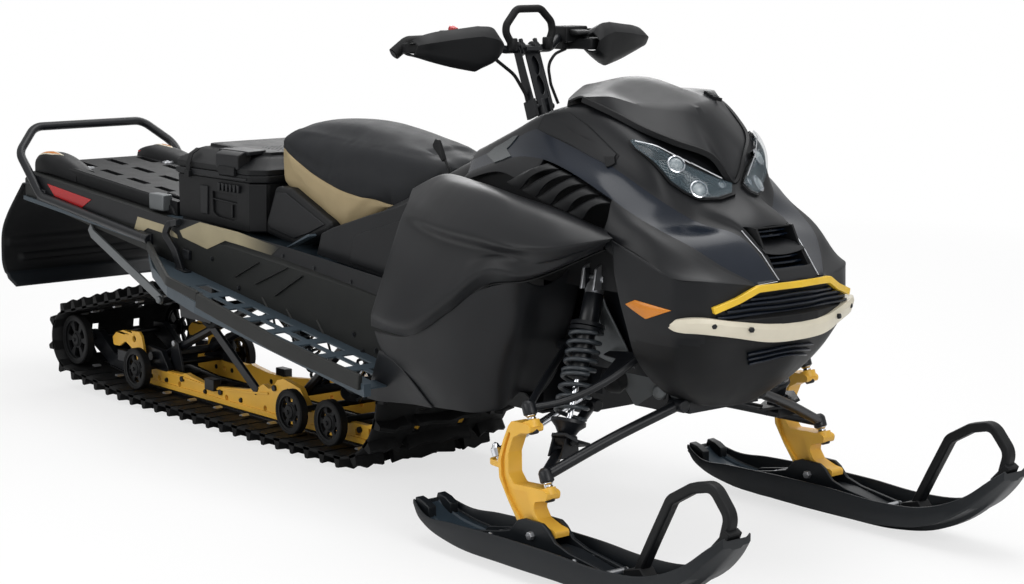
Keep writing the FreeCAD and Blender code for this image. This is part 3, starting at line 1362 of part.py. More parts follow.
def lugged_line(points):
    """The belt's outer line with a tapered lug at every pitch."""
    lengths = along_line(points)
    count = round(lengths[-1] / dim.lug_pitch)
    pitch = lengths[-1] / count
    marks = []
    for number in range(count):
        middle = number * pitch
        for shift, rise in ((-dim.lug_root / 2, 0), (-dim.lug_thickness / 2, dim.lug_height),
                            (dim.lug_thickness / 2, dim.lug_height), (dim.lug_root / 2, 0)):
            place, along, outward = point_on(points, lengths, middle + (shift if rise == 0 else 0))
            slide = shift if rise else 0
            marks.append(((middle + shift) % lengths[-1], rise,
                          (place[0] + outward[0] * rise + along[0] * slide,
                           place[1] + outward[1] * rise + along[1] * slide)))
    for index, point in enumerate(points):
        distance = lengths[index]
        nearest = (distance + pitch / 2) % pitch - pitch / 2
        if abs(nearest) > dim.lug_root / 2:
            marks.append((distance, 0, point))
    marks.sort(key=lambda mark: mark[0])
    return [mark[2] for mark in marks]


def make_track():
    inner_line = belt_line(0)
    outer_line = belt_line(dim.belt_thickness)
    lugged = lugged_line(outer_line)
    half = dim.track_width / 2
    first_gap = half - dim.lug_band
    second_gap = first_gap - dim.lug_gap
    bands = [
        (-half, -first_gap, lugged), (-first_gap, -second_gap, outer_line), (-second_gap, second_gap, lugged),
        (second_gap, first_gap, outer_line), (first_gap, half, lugged),
    ]
    rings = [belt_ring(line, inner_line, low, high) for low, high, line in bands]
    add_piece("track", joined(rings))


def make_wheel(station, height, radius, side):
    """A wheel with a rubber rim, a hub and six spokes."""
    low, high = side - dim.wheel_width / 2, side + dim.wheel_width / 2
    tyre = rod(at(station, low, height), at(station, high, height), radius, wheel_sides)
    hollow = rod(at(station, low - dim.overrun, height), at(station, high + dim.overrun, height),
                 radius - dim.wheel_rim, wheel_sides)
    ring = tyre.cut(hollow)
    hub = rod(at(station, low, height), at(station, high, height), dim.wheel_hub_radius, wheel_sides // 2)
    web = dim.wheel_web / 2
    spokes = []
    for number in range(3):
        bar = block((station - radius + dim.wheel_rim / 2, station + radius - dim.wheel_rim / 2),
                    (side - web, side + web),
                    (height - dim.spoke_width / 2, height + dim.spoke_width / 2))
        bar.rotate(at(station, side, height), FreeCAD.Vector(0, 1, 0), 60 * number)
        spokes.append(bar)
    return joined([ring, hub] + spokes)


def make_wheels():
    """Four spoked pairs on the rails, and a plain pair under the tunnel that carries the track."""
    groups = []
    for station, height, radius in ((-dim.rear_wheel_station, dim.rear_wheel_height, dim.rear_wheel_radius),
                                    (-dim.rail_wheel_back, dim.rail_wheel_height, dim.rail_wheel_radius),
                                    (-dim.rail_wheel_mid, dim.rail_wheel_height, dim.rail_wheel_radius),
                                    (-dim.rail_wheel_front, dim.rail_wheel_height, dim.rail_wheel_radius)):
        wheels = []
        for side in (-dim.wheel_spread, dim.wheel_spread):
            wheels.append(make_wheel(station, height, radius - dim.belt_seat, side))
        axle = cross_bar(station, height, dim.wheel_spread + dim.wheel_width / 2, dim.wheel_axle_radius)
        groups.append(joined(wheels + [axle]))
    station, height = -dim.carry_wheel_station, dim.carry_wheel_height
    reach = dim.tunnel_width / 2 - dim.tunnel_wall - dim.drop_sheet
    rollers = [cross_bar(station, height, reach, dim.wheel_axle_radius)]
    for side in (-dim.wheel_spread, dim.wheel_spread):
        ends = [at(station, side + edge * dim.wheel_width / 2, height) for edge in (-1, 1)]
        rollers.append(rod(ends[0], ends[1], dim.rail_wheel_radius - dim.belt_seat, wheel_sides))
    groups.append(joined(rollers))
    add_piece("idler_wheels", Part.makeCompound(groups))


def drive_drum(name, radius, low_side, width):
    """A many-sided drum on the drive axle, from its lower side across the machine."""
    drum = doc.addObject("Part::Prism", name)
    drum.Polygon = wheel_sides
    drum.Placement = FreeCAD.Placement(FreeCAD.Vector(0, 0, 0), FreeCAD.Rotation(FreeCAD.Vector(1, 0, 0), -90))
    drum.setExpression("Circumradius", radius)
    drum.setExpression("Height", width)
    drum.setExpression("Placement.Base.x", "sizes.ski_pin_x - sizes.drive_station")
    drum.setExpression("Placement.Base.y", low_side)
    drum.setExpression("Placement.Base.z", "sizes.drive_height")
    return drum


def make_drive_axle():
    drums = [drive_drum("drive_shaft", "sizes.drive_axle_radius", "sizes.tunnel_wall - sizes.tunnel_width / 2",
                        "sizes.tunnel_width - 2 * sizes.tunnel_wall")]
    for side, name in ((-1, "right"), (1, "left")):
        drums.append(drive_drum("sprocket_" + name, "sizes.sprocket_radius - sizes.belt_seat",
                                "%d * sizes.rail_spread - sizes.rail_thickness" % side, "2 * sizes.rail_thickness"))
    axle = doc.addObject("Part::MultiFuse", "drive_axle_fuse")
    axle.Shapes = drums
    axle.Refine = True
    doc.recompute()
    register(axle, "drive_axle")


front_arm_low = (-dim.front_arm_foot, dim.front_arm_foot_height)
front_arm_high = (-dim.front_arm_head, dim.front_arm_head_height)
rear_arm_low = (-dim.rear_arm_foot, dim.rear_arm_foot_height)
rear_arm_high = (-dim.rear_arm_head, dim.rear_arm_head_height)
# a bearing tower on a rail: shares of the rail's height from the arm's axle, forwards and upwards
tower_side_shares = [(1.55, -0.6), (0.75, 0.4), (-0.7, 0.45), (-1.55, -0.6)]
# the rail's raised rear end: shares of the rail's height from its rear end and above its base
rail_heel_shares = [(0, 1.52), (1.55, 0.83), (2.24, 0.45), (6.8, 0)]
rail_axle_shares = [(4.55, 1), (2.66, 1.17), (1.1, 2.28), (0, 2.2)]


def make_rails():
    low, tall = dim.rail_base, dim.rail_height
    high = low + tall
    rear = -dim.rail_rear
    bend = -dim.rail_bend_station
    middle = belt_low + dim.rail_bend_radius
    outer = middle - low
    tip = math.radians(dim.rail_tip_angle)
    steps = 5
    lower_arc = []
    upper_arc = []
    for number in range(steps + 1):
        angle = tip * number / steps
        lower_arc.append((bend + outer * math.sin(angle), middle - outer * math.cos(angle)))
        inner = outer - tall * (1 - 0.4 * number / steps)
        upper_arc.append((bend + inner * math.sin(angle), middle - inner * math.cos(angle)))
    line = [(rear + tall * along, low + tall * above) for along, above in rail_heel_shares]
    line = line + lower_arc + list(reversed(upper_arc))
    for station, height in (front_arm_low, rear_arm_low):
        for along, above in tower_side_shares:
            line.append((station + tall * along, height + tall * above if above > 0 else high))
    line = line + [(rear + tall * along, low + tall * above) for along, above in rail_axle_shares]
    half = dim.rail_thickness / 2
    reach = dim.tunnel_width / 2
    holes = []
    station = rear + tall * 3.4
    while station < bend - tall * 2.6:
        holes.append(cross_bar(station, low + tall * 0.45, reach, dim.rail_hole_radius, 6))
        station = station + dim.rail_hole_radius * 10
    for station, height in ((-dim.rear_wheel_station, dim.rear_wheel_height),
                            (-dim.rail_wheel_back, dim.rail_wheel_height),
                            (-dim.rail_wheel_mid, dim.rail_wheel_height),
                            (-dim.rail_wheel_front, dim.rail_wheel_height)):
        holes.append(cross_bar(station, height, reach, dim.wheel_axle_radius + dim.seat_gap))
    for station, height in (front_arm_low, rear_arm_low):
        holes.append(cross_bar(station, height, reach, dim.arm_tube_radius + dim.seat_gap))
    rails = []
    for side in (-1, 1):
        centre = side * dim.rail_spread
        rails.append(side_plate(line, centre - half, centre + half).cut(holes))
    add_piece("slide_rails", Part.makeCompound(rails))


def make_rear_arms():
    inner = (dim.rail_spread - dim.rail_thickness) * 0.8
    half = dim.tunnel_width / 2 - dim.tunnel_wall
    radius = dim.arm_tube_radius
    shapes = []
    for low, high, reach in ((front_arm_low, front_arm_high, half),
                             (rear_arm_low, rear_arm_high, half - dim.drop_sheet)):
        bars = [cross_bar(low[0], low[1], dim.rail_spread + dim.rail_thickness, radius),
                cross_bar(high[0], high[1], reach, radius)]
        for side in (-inner, inner):
            bars.append(rod(at(low[0], side, low[1]), at(high[0], side, high[1]), radius))
        shapes.append(joined(bars))
    plate_low = dim.carry_wheel_height - radius * 2
    plate_high = tunnel_edge(-dim.carry_wheel_station) + dim.tunnel_lip / 2
    line = [(-dim.carry_wheel_station - radius * 3.5, plate_low), (-dim.rear_arm_head + radius * 1.5, plate_low),
            (-dim.rear_arm_head + radius * 3, plate_high), (-dim.carry_wheel_station - radius * 5, plate_high)]
    for side in (-1, 1):
        edges = sorted((side * half, side * (half - dim.drop_sheet)))
        shapes.append(side_plate(line, edges[0], edges[1]))
    add_piece("suspension_arms", Part.makeCompound(shapes))


def make_rear_shocks():
    shocks = []
    wheel_axle = (-dim.rail_wheel_mid, dim.rail_wheel_height)
    for top, foot, foot_radius in ((front_arm_high, wheel_axle, dim.wheel_axle_radius),
                                   (rear_arm_high, front_arm_low, dim.arm_tube_radius)):
        top_point, foot_point = at(top[0], 0, top[1]), at(foot[0], 0, foot[1])
        along = (foot_point - top_point).normalize()
        top_point = top_point + along * (dim.arm_tube_radius * seat_share + dim.seat_gap)
        foot_point = foot_point - along * (foot_radius * seat_share + dim.seat_gap)
        middle = top_point + (foot_point - top_point) * 0.55
        body = rod(top_point, middle, dim.shock_radius)
        shocks.append(joined([body, rod(middle, foot_point, dim.stud_radius)]))
    add_piece("rear_shocks", Part.makeCompound(shocks))


make_tunnel()
make_running_boards()
make_snow_flap()
make_grab_bar()
make_cargo_deck()
make_tail_lamps()
make_hitch()
make_cargo_box()
make_cargo_box_lid()
make_seat()
make_console()
make_side_panels()
make_windshield(make_hood())
make_headlights()
make_bumper(make_fascia())
make_belly_pan()
make_engine()
make_front_arms()
make_ski_shocks()
make_subframe()
make_spindles()
make_skis()
make_tie_rods()
make_hand_guards(make_handlebar())
make_strap()
make_track()
make_wheels()
make_drive_axle()
make_rails()
make_rear_arms()
make_rear_shocks()

doc.recompute()

for item in doc.Objects:
    if "Invalid" in item.State or "Error" in item.State:
        raise RuntimeError("the object %s did not build" % item.Label)
for piece in pieces:
    if piece.Shape.isNull() or not piece.Shape.isValid():
        raise RuntimeError("the shape of %s is not valid" % piece.Label)

os.makedirs("parts", exist_ok=True)
for piece in pieces:
    piece.Shape.exportStep("parts/%s.step" % piece.Label)
print("wrote", len(pieces), "pieces")
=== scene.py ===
import bmesh
import bpy
import json
import math
import numpy as np
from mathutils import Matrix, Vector
from mathutils.geometry import tessellate_polygon


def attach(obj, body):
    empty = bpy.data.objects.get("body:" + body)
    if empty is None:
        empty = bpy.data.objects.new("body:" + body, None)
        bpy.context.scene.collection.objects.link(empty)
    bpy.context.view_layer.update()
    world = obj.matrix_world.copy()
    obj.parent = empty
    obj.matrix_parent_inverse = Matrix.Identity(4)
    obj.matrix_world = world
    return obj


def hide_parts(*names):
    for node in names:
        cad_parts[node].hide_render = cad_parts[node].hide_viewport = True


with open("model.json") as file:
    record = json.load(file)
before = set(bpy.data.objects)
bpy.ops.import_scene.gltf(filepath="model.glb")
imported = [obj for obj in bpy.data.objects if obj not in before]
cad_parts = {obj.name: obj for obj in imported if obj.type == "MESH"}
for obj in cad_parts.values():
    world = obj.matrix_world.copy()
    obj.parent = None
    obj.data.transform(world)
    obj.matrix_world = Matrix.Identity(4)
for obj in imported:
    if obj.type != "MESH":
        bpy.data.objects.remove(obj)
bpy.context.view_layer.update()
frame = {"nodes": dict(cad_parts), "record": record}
scene = bpy.context.scene
print("frame loaded:", len(frame["nodes"]), "nodes")

# Stations are counted in millimetres from the ski pivot bolts, forward positive.
skiPinX = 1.1715


def place(points):
    # (station, side, height) in mm to metres in the frame, for any array of points
    return np.asarray(points, float) / 1000 + np.array([skiPinX, 0, 0])


# Materials

finishes = {
    # colour, roughness, scale of the grain and its bump, specular, metal, alpha
    "blackPlastic": ((0.0062, 0.0066, 0.0074), 0.5, 900, 0.05, 0.22),
    "panelPlastic": ((0.0078, 0.0084, 0.0098), 0.4, 1400, 0.02, 0.26),
    "glossPanel": ((0.0052, 0.0088, 0.0165), 0.2, 40, 0.0, 0.3),
    "darkSheet": ((0.0155, 0.0165, 0.0158), 0.5, 500, 0.03, 0.25),
    "boardSheet": ((0.038, 0.055, 0.07), 0.42, 500, 0.04, 0.4),
    "seatCover": ((0.0105, 0.0115, 0.0135), 0.6, 700, 0.12, 0.22),
    "beigeCover": ((0.35, 0.275, 0.155), 0.6, 700, 0.1, 0.25),
    "blackMetal": ((0.0068, 0.0078, 0.0098), 0.34, 700, 0.04, 0.32),
    "bareMetal": ((0.46, 0.47, 0.49), 0.34, 300, 0.03, 0.5, 0.85),
    "chrome": ((0.72, 0.74, 0.78), 0.14, 300, 0.0, 0.5, 1.0),
    "yellowPaint": ((0.8, 0.45, 0.055), 0.36, 350, 0.04, 0.4),
    "goldTrim": ((0.78, 0.5, 0.035), 0.3, 350, 0.02, 0.4),
    "creamPlastic": ((0.66, 0.61, 0.49), 0.38, 500, 0.02, 0.4),
    "stripeBeige": ((0.36, 0.31, 0.195), 0.45, 500, 0.0, 0.3),
    "orangeLens": ((0.6, 0.2, 0.012), 0.25, 500, 0.02),
    "trackRubber": ((0.006, 0.0062, 0.0066), 0.62, 260, 0.12, 0.2),
    "skiPlastic": ((0.0068, 0.0088, 0.0112), 0.42, 600, 0.06, 0.3),
    "skiDeck": ((0.024, 0.038, 0.052), 0.42, 600, 0.05, 0.35),
    "clearLens": ((0.1, 0.15, 0.18), 0.05, 20, 0.0, 0.5, 0.0, 0.22),
    "castMetal": ((0.145, 0.155, 0.16), 0.42, 260, 0.05, 0.5, 0.55),
    "springSteel": ((0.03, 0.036, 0.042), 0.3, 400, 0.03, 0.45),
    "lampBowl": ((0.01, 0.014, 0.017), 0.18, 60, 0.0, 0.45),
    "projectorGlass": ((0.34, 0.38, 0.4), 0.08, 60, 0.0, 0.6),
    "smokeWindow": ((0.045, 0.052, 0.055), 0.15, 60, 0.0),
    "redLens": ((0.42, 0.006, 0.008), 0.25, 200, 0.02),
}


def makeMaterial(name, color, rough, grain, bump, specular=0.5, metal=0.0, alpha=1.0):
    # one finish: slow colour drift, finer roughness drift and a grain that lifts the surface
    material = bpy.data.materials.new(name)
    material.use_nodes = True
    nodes, links = material.node_tree.nodes, material.node_tree.links
    shader = nodes["Principled BSDF"]
    coords = nodes.new("ShaderNodeTexCoord")

    def noise(scale, detail):
        texture = nodes.new("ShaderNodeTexNoise")
        texture.inputs["Scale"].default_value = scale
        texture.inputs["Detail"].default_value = detail
        links.new(coords.outputs["Object"], texture.inputs["Vector"])
        return texture.outputs["Fac"]

    ramp = nodes.new("ShaderNodeValToRGB")
    darkest, lightest = (0.3, 0.88), (0.75, 1.12)
    for element, (position, share) in zip(ramp.color_ramp.elements, (darkest, lightest)):
        element.position = position
        element.color = (*[min(1, channel * share) for channel in color], 1)
    links.new(noise(7, 5), ramp.inputs["Fac"])
    links.new(ramp.outputs["Color"], shader.inputs["Base Color"])
    gloss = nodes.new("ShaderNodeMapRange")
    gloss.inputs["To Min"].default_value = rough * 0.85
    gloss.inputs["To Max"].default_value = min(1, rough * 1.18)
    links.new(noise(22, 6), gloss.inputs["Value"])
    links.new(gloss.outputs["Result"], shader.inputs["Roughness"])
    if bump:
        lift = nodes.new("ShaderNodeBump")
        lift.inputs["Strength"].default_value = bump
        lift.inputs["Distance"].default_value = 0.002
        links.new(noise(grain, 2), lift.inputs["Height"])
        links.new(lift.outputs["Normal"], shader.inputs["Normal"])
    for entry, value in (("Specular IOR Level", specular), ("Metallic", metal), ("Alpha", alpha)):
        shader.inputs[entry].default_value = value
    return material


materials = {name: makeMaterial(name, *values) for name, values in finishes.items()}

slotFinish = {
    "dark_sheet": "darkSheet", "blue_grey_sheet": "boardSheet", "black_plastic": "blackPlastic",
    "charcoal_panel": "panelPlastic", "seat_cover": "seatCover", "black_metal": "blackMetal",
    "bare_metal": "bareMetal", "yellow_paint": "yellowPaint", "cream_plastic": "creamPlastic",
    "black_rubber": "trackRubber", "clear_lens": "clearLens", "red_lens": "redLens",
}
finishSlot = {finish: slot for slot, finish in slotFinish.items()}
finishSlot.update({
    "glossPanel": "charcoal_panel", "beigeCover": "seat_cover", "chrome": "bare_metal",
    "goldTrim": "yellow_paint", "stripeBeige": "cream_plastic", "orangeLens": "red_lens",
    "castMetal": "bare_metal", "springSteel": "black_metal",
    "skiPlastic": "black_plastic", "skiDeck": "black_plastic", "lampBowl": "black_plastic",
    "projectorGlass": "clear_lens", "smokeWindow": "clear_lens",
})
nodeFinish = {"front_subframe": "blackMetal", "engine_block": "blackMetal"}
for row in frame["record"]["subparts"]:
    node = frame["nodes"][row["node"]]
    finishName = nodeFinish.get(row["node"], slotFinish[row["material_slot"]])
    node.data.materials.clear()
    node.data.materials.append(materials[finishName])
print("materials:", len(materials))


# Shapes: each maker returns (points in station, side, height; faces)


def gridFaces(rows, columns, closedRows=False, closedColumns=False):
    # quads of a grid whose points are numbered row by row
    rowCount = rows if closedRows else rows - 1
    columnCount = columns if closedColumns else columns - 1
    row, column = np.meshgrid(np.arange(rowCount), np.arange(columnCount), indexing="ij")
    nextRow, nextColumn = (row + 1) % rows, (column + 1) % columns
    corners = [row * columns + column, nextRow * columns + column,
               nextRow * columns + nextColumn, row * columns + nextColumn]
    return np.stack(corners, axis=-1).reshape(-1, 4).tolist()


def sheet(grid):
    # an open surface through a grid of points
    return grid.reshape(-1, 3), gridFaces(*grid.shape[:2])


def ringShell(rings):
    # rings of points joined in order, with a face over the first and the last
    rings = np.array(rings, float)
    rows, columns = rings.shape[:2]
    faces = gridFaces(rows, columns, closedColumns=True)
    faces += [tuple(range(columns)), tuple(reversed(range((rows - 1) * columns, rows * columns)))]
    return rings.reshape(-1, 3), faces


def eased(rows, steps, sharp=()):
    # a smooth line through rows of points: cubic pieces whose slope at a row is the
    # length-weighted mean of its two sides, or each side's own slope at a sharp row
    rows = np.asarray(rows, float)
    gaps = np.diff(rows, axis=0)
    lengths = np.maximum(np.linalg.norm(gaps, axis=-1, keepdims=True), 1e-6)
    slopes = gaps / lengths
    inner = (lengths[1:] * slopes[:-1] + lengths[:-1] * slopes[1:]) / (lengths[1:] + lengths[:-1])
    leaving = np.concatenate([slopes[:1], inner])
    arriving = np.concatenate([inner, slopes[-1:]])
    for row in sharp:
        leaving[row] = slopes[row]
        arriving[row - 1] = slopes[row - 1]
    share = (np.arange(steps) / steps).reshape(1, steps, *([1] * (rows.ndim - 1)))
    start, end = rows[:-1, None], rows[1:, None]
    leave, arrive = (leaving * lengths)[:, None], (arriving * lengths)[:, None]
    pieces = (start * (2 * share**3 - 3 * share**2 + 1) + end * (3 * share**2 - 2 * share**3)
              + leave * (share**3 - 2 * share**2 + share) + arrive * (share**3 - share**2))
    return np.concatenate([pieces.reshape(-1, *rows.shape[1:]), rows[-1:]])


def easedNet(control, rowSteps, columnSteps, sharpRows=(), sharpColumns=()):
    # the control net eased along its rows and then along its columns
    grid = eased(control, rowSteps, sharpRows)
    return eased(grid.transpose(1, 0, 2), columnSteps, sharpColumns).transpose(1, 0, 2)


def relaxed(grid, rounds):
    # inner points moved to the mean of their four neighbours, which rounds the creases
    grid = grid.copy()
    for _ in range(rounds):
        grid[1:-1, 1:-1] = (grid[:-2, 1:-1] + grid[2:, 1:-1] + grid[1:-1, :-2] + grid[1:-1, 2:]) / 4
    return grid


def wholeWidth(right):
    # rows from one side to the centre line, carried on to the other side by their mirror image
    right = np.asarray(right, float)
    return np.concatenate([right, (right * (1, -1, 1))[-2::-1]])


def mirrored(shape):
    # the same shape on the other side, its faces turned round
    points, faces = shape
    return np.asarray(points, float) * (1, -1, 1), [tuple(reversed(face)) for face in faces]


def both(shapes):
    return list(shapes) + [mirrored(shape) for shape in shapes]


def easedCorners(points, bend, steps=8):
    # straight runs whose corners are arcs of one radius, cut back where a run is short
    points = np.asarray(points, float)
    line = [points[0]]
    for before, corner, after in zip(points[:-2], points[1:-1], points[2:]):
        back, onward = before - corner, after - corner
        backRun, onRun = np.linalg.norm(back), np.linalg.norm(onward)
        back, onward = back / backRun, onward / onRun
        turn = math.pi - math.acos(np.clip(back @ onward, -1, 1))
        if turn < 0.01:
            line.append(corner)
            continue
        setback = min(bend * math.tan(turn / 2), 0.49 * min(backRun, onRun))
        radius = setback / math.tan(turn / 2)
        centre = corner + (back + onward) / np.linalg.norm(back + onward) * radius / math.cos(turn / 2)
        first, last = corner + back * setback - centre, corner + onward * setback - centre
        share = np.linspace(0, 1, steps + 1)[:, None]
        spokes = first * np.sin((1 - share) * turn) + last * np.sin(share * turn)
        line.extend(centre + spokes / math.sin(turn))
    line.append(points[-1])
    return np.array(line)


def rounded(outline, bend, steps=3):
    # a closed outline with its corners rounded, apart from the first
    return easedCorners(list(outline) + [outline[0]], bend, steps)[:-1]


def swept(line, profile):
    # a closed profile carried along a line without twist: each ring is the last one slid
    # along the line onto the plane that halves the turn
    line, profile = np.asarray(line, float), np.asarray(profile, float)
    ways = np.diff(line, axis=0)
    ways = ways / np.linalg.norm(ways, axis=1, keepdims=True)
    helper = np.array([0, 0, 1.0]) if abs(ways[0][2]) < 0.9 else np.array([1.0, 0, 0])
    across = np.cross(ways[0], helper)
    across = across / np.linalg.norm(across)
    upward = np.cross(across, ways[0])
    rings = [line[0] + profile[:, :1] * across + profile[:, 1:] * upward]
    for index in range(1, len(line)):
        way = ways[index - 1]
        facing = way if index == len(ways) else way + ways[index]
        rings.append(rings[-1] + way * (((line[index] - rings[-1]) @ facing) / (way @ facing))[:, None])
    return ringShell(rings)


def circle(radius, sides=20, centre=(0, 0)):
    angle = np.linspace(0, 2 * math.pi, sides, endpoint=False)
    return np.stack([radius * np.cos(angle), radius * np.sin(angle)], axis=1) + centre


def plank(wide, tall):
    # a rectangular profile by its half sizes
    return [(-wide, -tall), (wide, -tall), (wide, tall), (-wide, tall)]


def tube(points, radius, bend=30, sides=18):
    return swept(easedCorners(points, bend), circle(radius, sides))


def coil(start, end, radius, wire, turns, stepsPerTurn=22, sides=9):
    # a spring: points on a helix about the line from start to end, with its wire round each
    start, along = np.asarray(start, float), np.subtract(end, start)
    way = along / np.linalg.norm(along)
    across = np.cross(way, (0, 1, 0))
    across = across / np.linalg.norm(across)
    third = np.cross(way, across)
    share = np.linspace(0, 1, int(turns * stepsPerTurn))[:, None]
    angle = 2 * math.pi * turns * share
    line = start + along * share + radius * (across * np.cos(angle) + third * np.sin(angle))
    return swept(line, circle(wire, sides))


def turned(profile, base, way=(0, 1, 0), sides=28):
    # a profile of (distance along the axis, radius) turned once round the axis
    way = np.asarray(way, float) / np.linalg.norm(way)
    helper = (0, 0, 1) if abs(way[2]) < 0.9 else (1, 0, 0)
    across = np.cross(way, helper)
    across = across / np.linalg.norm(across)
    third = np.cross(way, across)
    profile = np.asarray(profile, float)
    angle = np.linspace(0, 2 * math.pi, sides, endpoint=False)
    spin = across * np.cos(angle)[:, None] + third * np.sin(angle)[:, None]
    points = np.asarray(base, float) + way * profile[:, None, :1] + spin[None] * profile[:, None, 1:]
    faces = gridFaces(len(profile), sides, closedColumns=True)
    if profile[0][1] > 1e-6:
        faces.append(tuple(range(sides)))
    if profile[-1][1] > 1e-6:
        faces.append(tuple(reversed(range((len(profile) - 1) * sides, len(profile) * sides))))
    return points.reshape(-1, 3), faces


def slab(outline, low, high, holes=(), axis=1):
    # a flat plate between two levels of one axis: its outline and holes give the other two
    rings = [np.asarray(outline, float)] + [np.asarray(hole, float) for hole in holes]
    flat = np.concatenate(rings)
    caps = [range(len(flat))]
    if holes:
        caps = tessellate_polygon([[Vector((*point, 0)) for point in ring] for ring in rings])
    others = [index for index in range(3) if index != axis]
    points = np.zeros((2 * len(flat), 3))
    points[:, others] = np.concatenate([flat, flat])
    points[:len(flat), axis], points[len(flat):, axis] = low, high
    faces = [tuple(cap) for cap in caps]
    faces += [tuple(index + len(flat) for index in reversed(cap)) for cap in caps]
    start = 0
    for ring in rings:
        index = np.arange(len(ring)) + start
        after = np.roll(index, -1)
        faces += np.stack([index, after, after + len(flat), index + len(flat)], axis=1).tolist()
        start += len(ring)
    return points, faces


def crate(stations, sides, heights):
    (rear, front), (bottom, top) = stations, heights
    return slab([(rear, bottom), (front, bottom), (front, top), (rear, top)], *sides)


def flatPlate(outline, thick):
    # a closed plate of any flat outline in space, its back set off along the outline's normal
    outline = np.asarray(outline, float)
    fromMiddle = outline - outline.mean(axis=0)
    normal = np.cross(fromMiddle, np.roll(fromMiddle, -1, axis=0)).sum(axis=0)
    return ringShell([outline, outline - normal / np.linalg.norm(normal) * thick])


def laidOn(grid, points, lift):
    # points dropped onto the tangent plane at a surface's nearest point and lifted off it;
    # a plane's normal is the cross product of the grid's two running directions
    normals = np.cross(np.gradient(grid, axis=0), np.gradient(grid, axis=1)).reshape(-1, 3)
    normals = normals / np.maximum(np.linalg.norm(normals, axis=-1, keepdims=True), 1e-9)
    flat, points = grid.reshape(-1, 3), np.asarray(points, float)
    loose = points.reshape(-1, 3)
    near = np.argmin(((loose[:, None] - flat[None]) ** 2).sum(-1), axis=1)
    height = ((loose - flat[near]) * normals[near]).sum(-1, keepdims=True)
    lift = np.asarray(lift, float).reshape(-1, 1)
    return (loose + (lift - height) * normals[near]).reshape(points.shape)


def laidPlate(grid, outline, lift, thick, dome=0.0, rings=5, fill=4):
    # a closed plate that follows a surface: rings of its outline shrunk towards the middle,
    # raised in the middle by the dome times one minus the share squared, over a flat back
    outline = np.asarray(outline, float)
    step = (np.arange(fill) / fill)[None, :, None]
    edge = (outline[:, None] * (1 - step) + np.roll(outline, -1, axis=0)[:, None] * step).reshape(-1, 3)
    middle, count = edge.mean(axis=0), len(edge)
    share = np.append(1 - np.arange(rings) / rings, [1 / (3 * rings)])
    shrunk = middle + (edge - middle) * share[:, None, None]
    front = laidOn(grid, shrunk, np.repeat(lift + dome * (1 - share ** 2), count))
    back = laidOn(grid, shrunk[[0, -1]], np.full(2 * count, lift - thick))
    return ringShell(np.concatenate([back[::-1], front]))


def piece(name, shapes, finish, body="chassis", replaces="", angle=35, bevel=0.0, wall=0.0, segments=2,
          outward=True):
    # joins shapes into one object, turns its faces outwards and gives it finish and body
    points, faces, start = [], [], 0
    for shapePoints, shapeFaces in shapes:
        points.append(place(shapePoints))
        faces += [tuple(index + start for index in face) for face in shapeFaces]
        start += len(shapePoints)
    mesh = bpy.data.meshes.new(name)
    mesh.from_pydata(np.concatenate(points).tolist(), [], faces)
    mesh.update()
    made = bpy.data.objects.new(name, mesh)
    scene.collection.objects.link(made)
    if outward:
        turnOutward(mesh)
    mesh.materials.append(materials[finish])
    mesh.shade_smooth()
    mesh.set_sharp_from_angle(angle=math.radians(angle))
    if wall:
        solid = made.modifiers.new("wall", "SOLIDIFY")
        solid.thickness = wall / 1000
        solid.offset = -1
        solid.use_even_offset = False
    if bevel:
        edges = made.modifiers.new("edges", "BEVEL")
        edges.width = bevel / 1000
        edges.segments = segments
        edges.limit_method = "ANGLE"
        edges.angle_limit = math.radians(angle)
        edges.harden_normals = False
    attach(made, body)
    if replaces:
        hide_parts(replaces)
    return made


def turnOutward(mesh):
    edit = bmesh.new()
    edit.from_mesh(mesh)
    bmesh.ops.recalc_face_normals(edit, faces=edit.faces)
    edit.to_mesh(mesh)
    edit.free()


def pair(name, shapes, finish, body="chassis", replaces="", **look):
    # the shapes as one piece on the right and, mirrored, one on the left; {} stands for the side
    for side, turnedShapes in (("right", shapes), ("left", [mirrored(shape) for shape in shapes])):
        piece(name + side.title(), turnedShapes, finish, body.format(side), replaces.format(side), **look)


def paintFaces(made, finish, chosen):
    # the chosen faces, one true or false for each, get a second finish
    made.data.materials.append(materials[finish])
    made.data.polygons.foreach_set("material_index", np.asarray(chosen).astype(int))


print("makers ready")


# Side panels: an upper cover with a raised blister, a lower cover, a knee guard and a liner

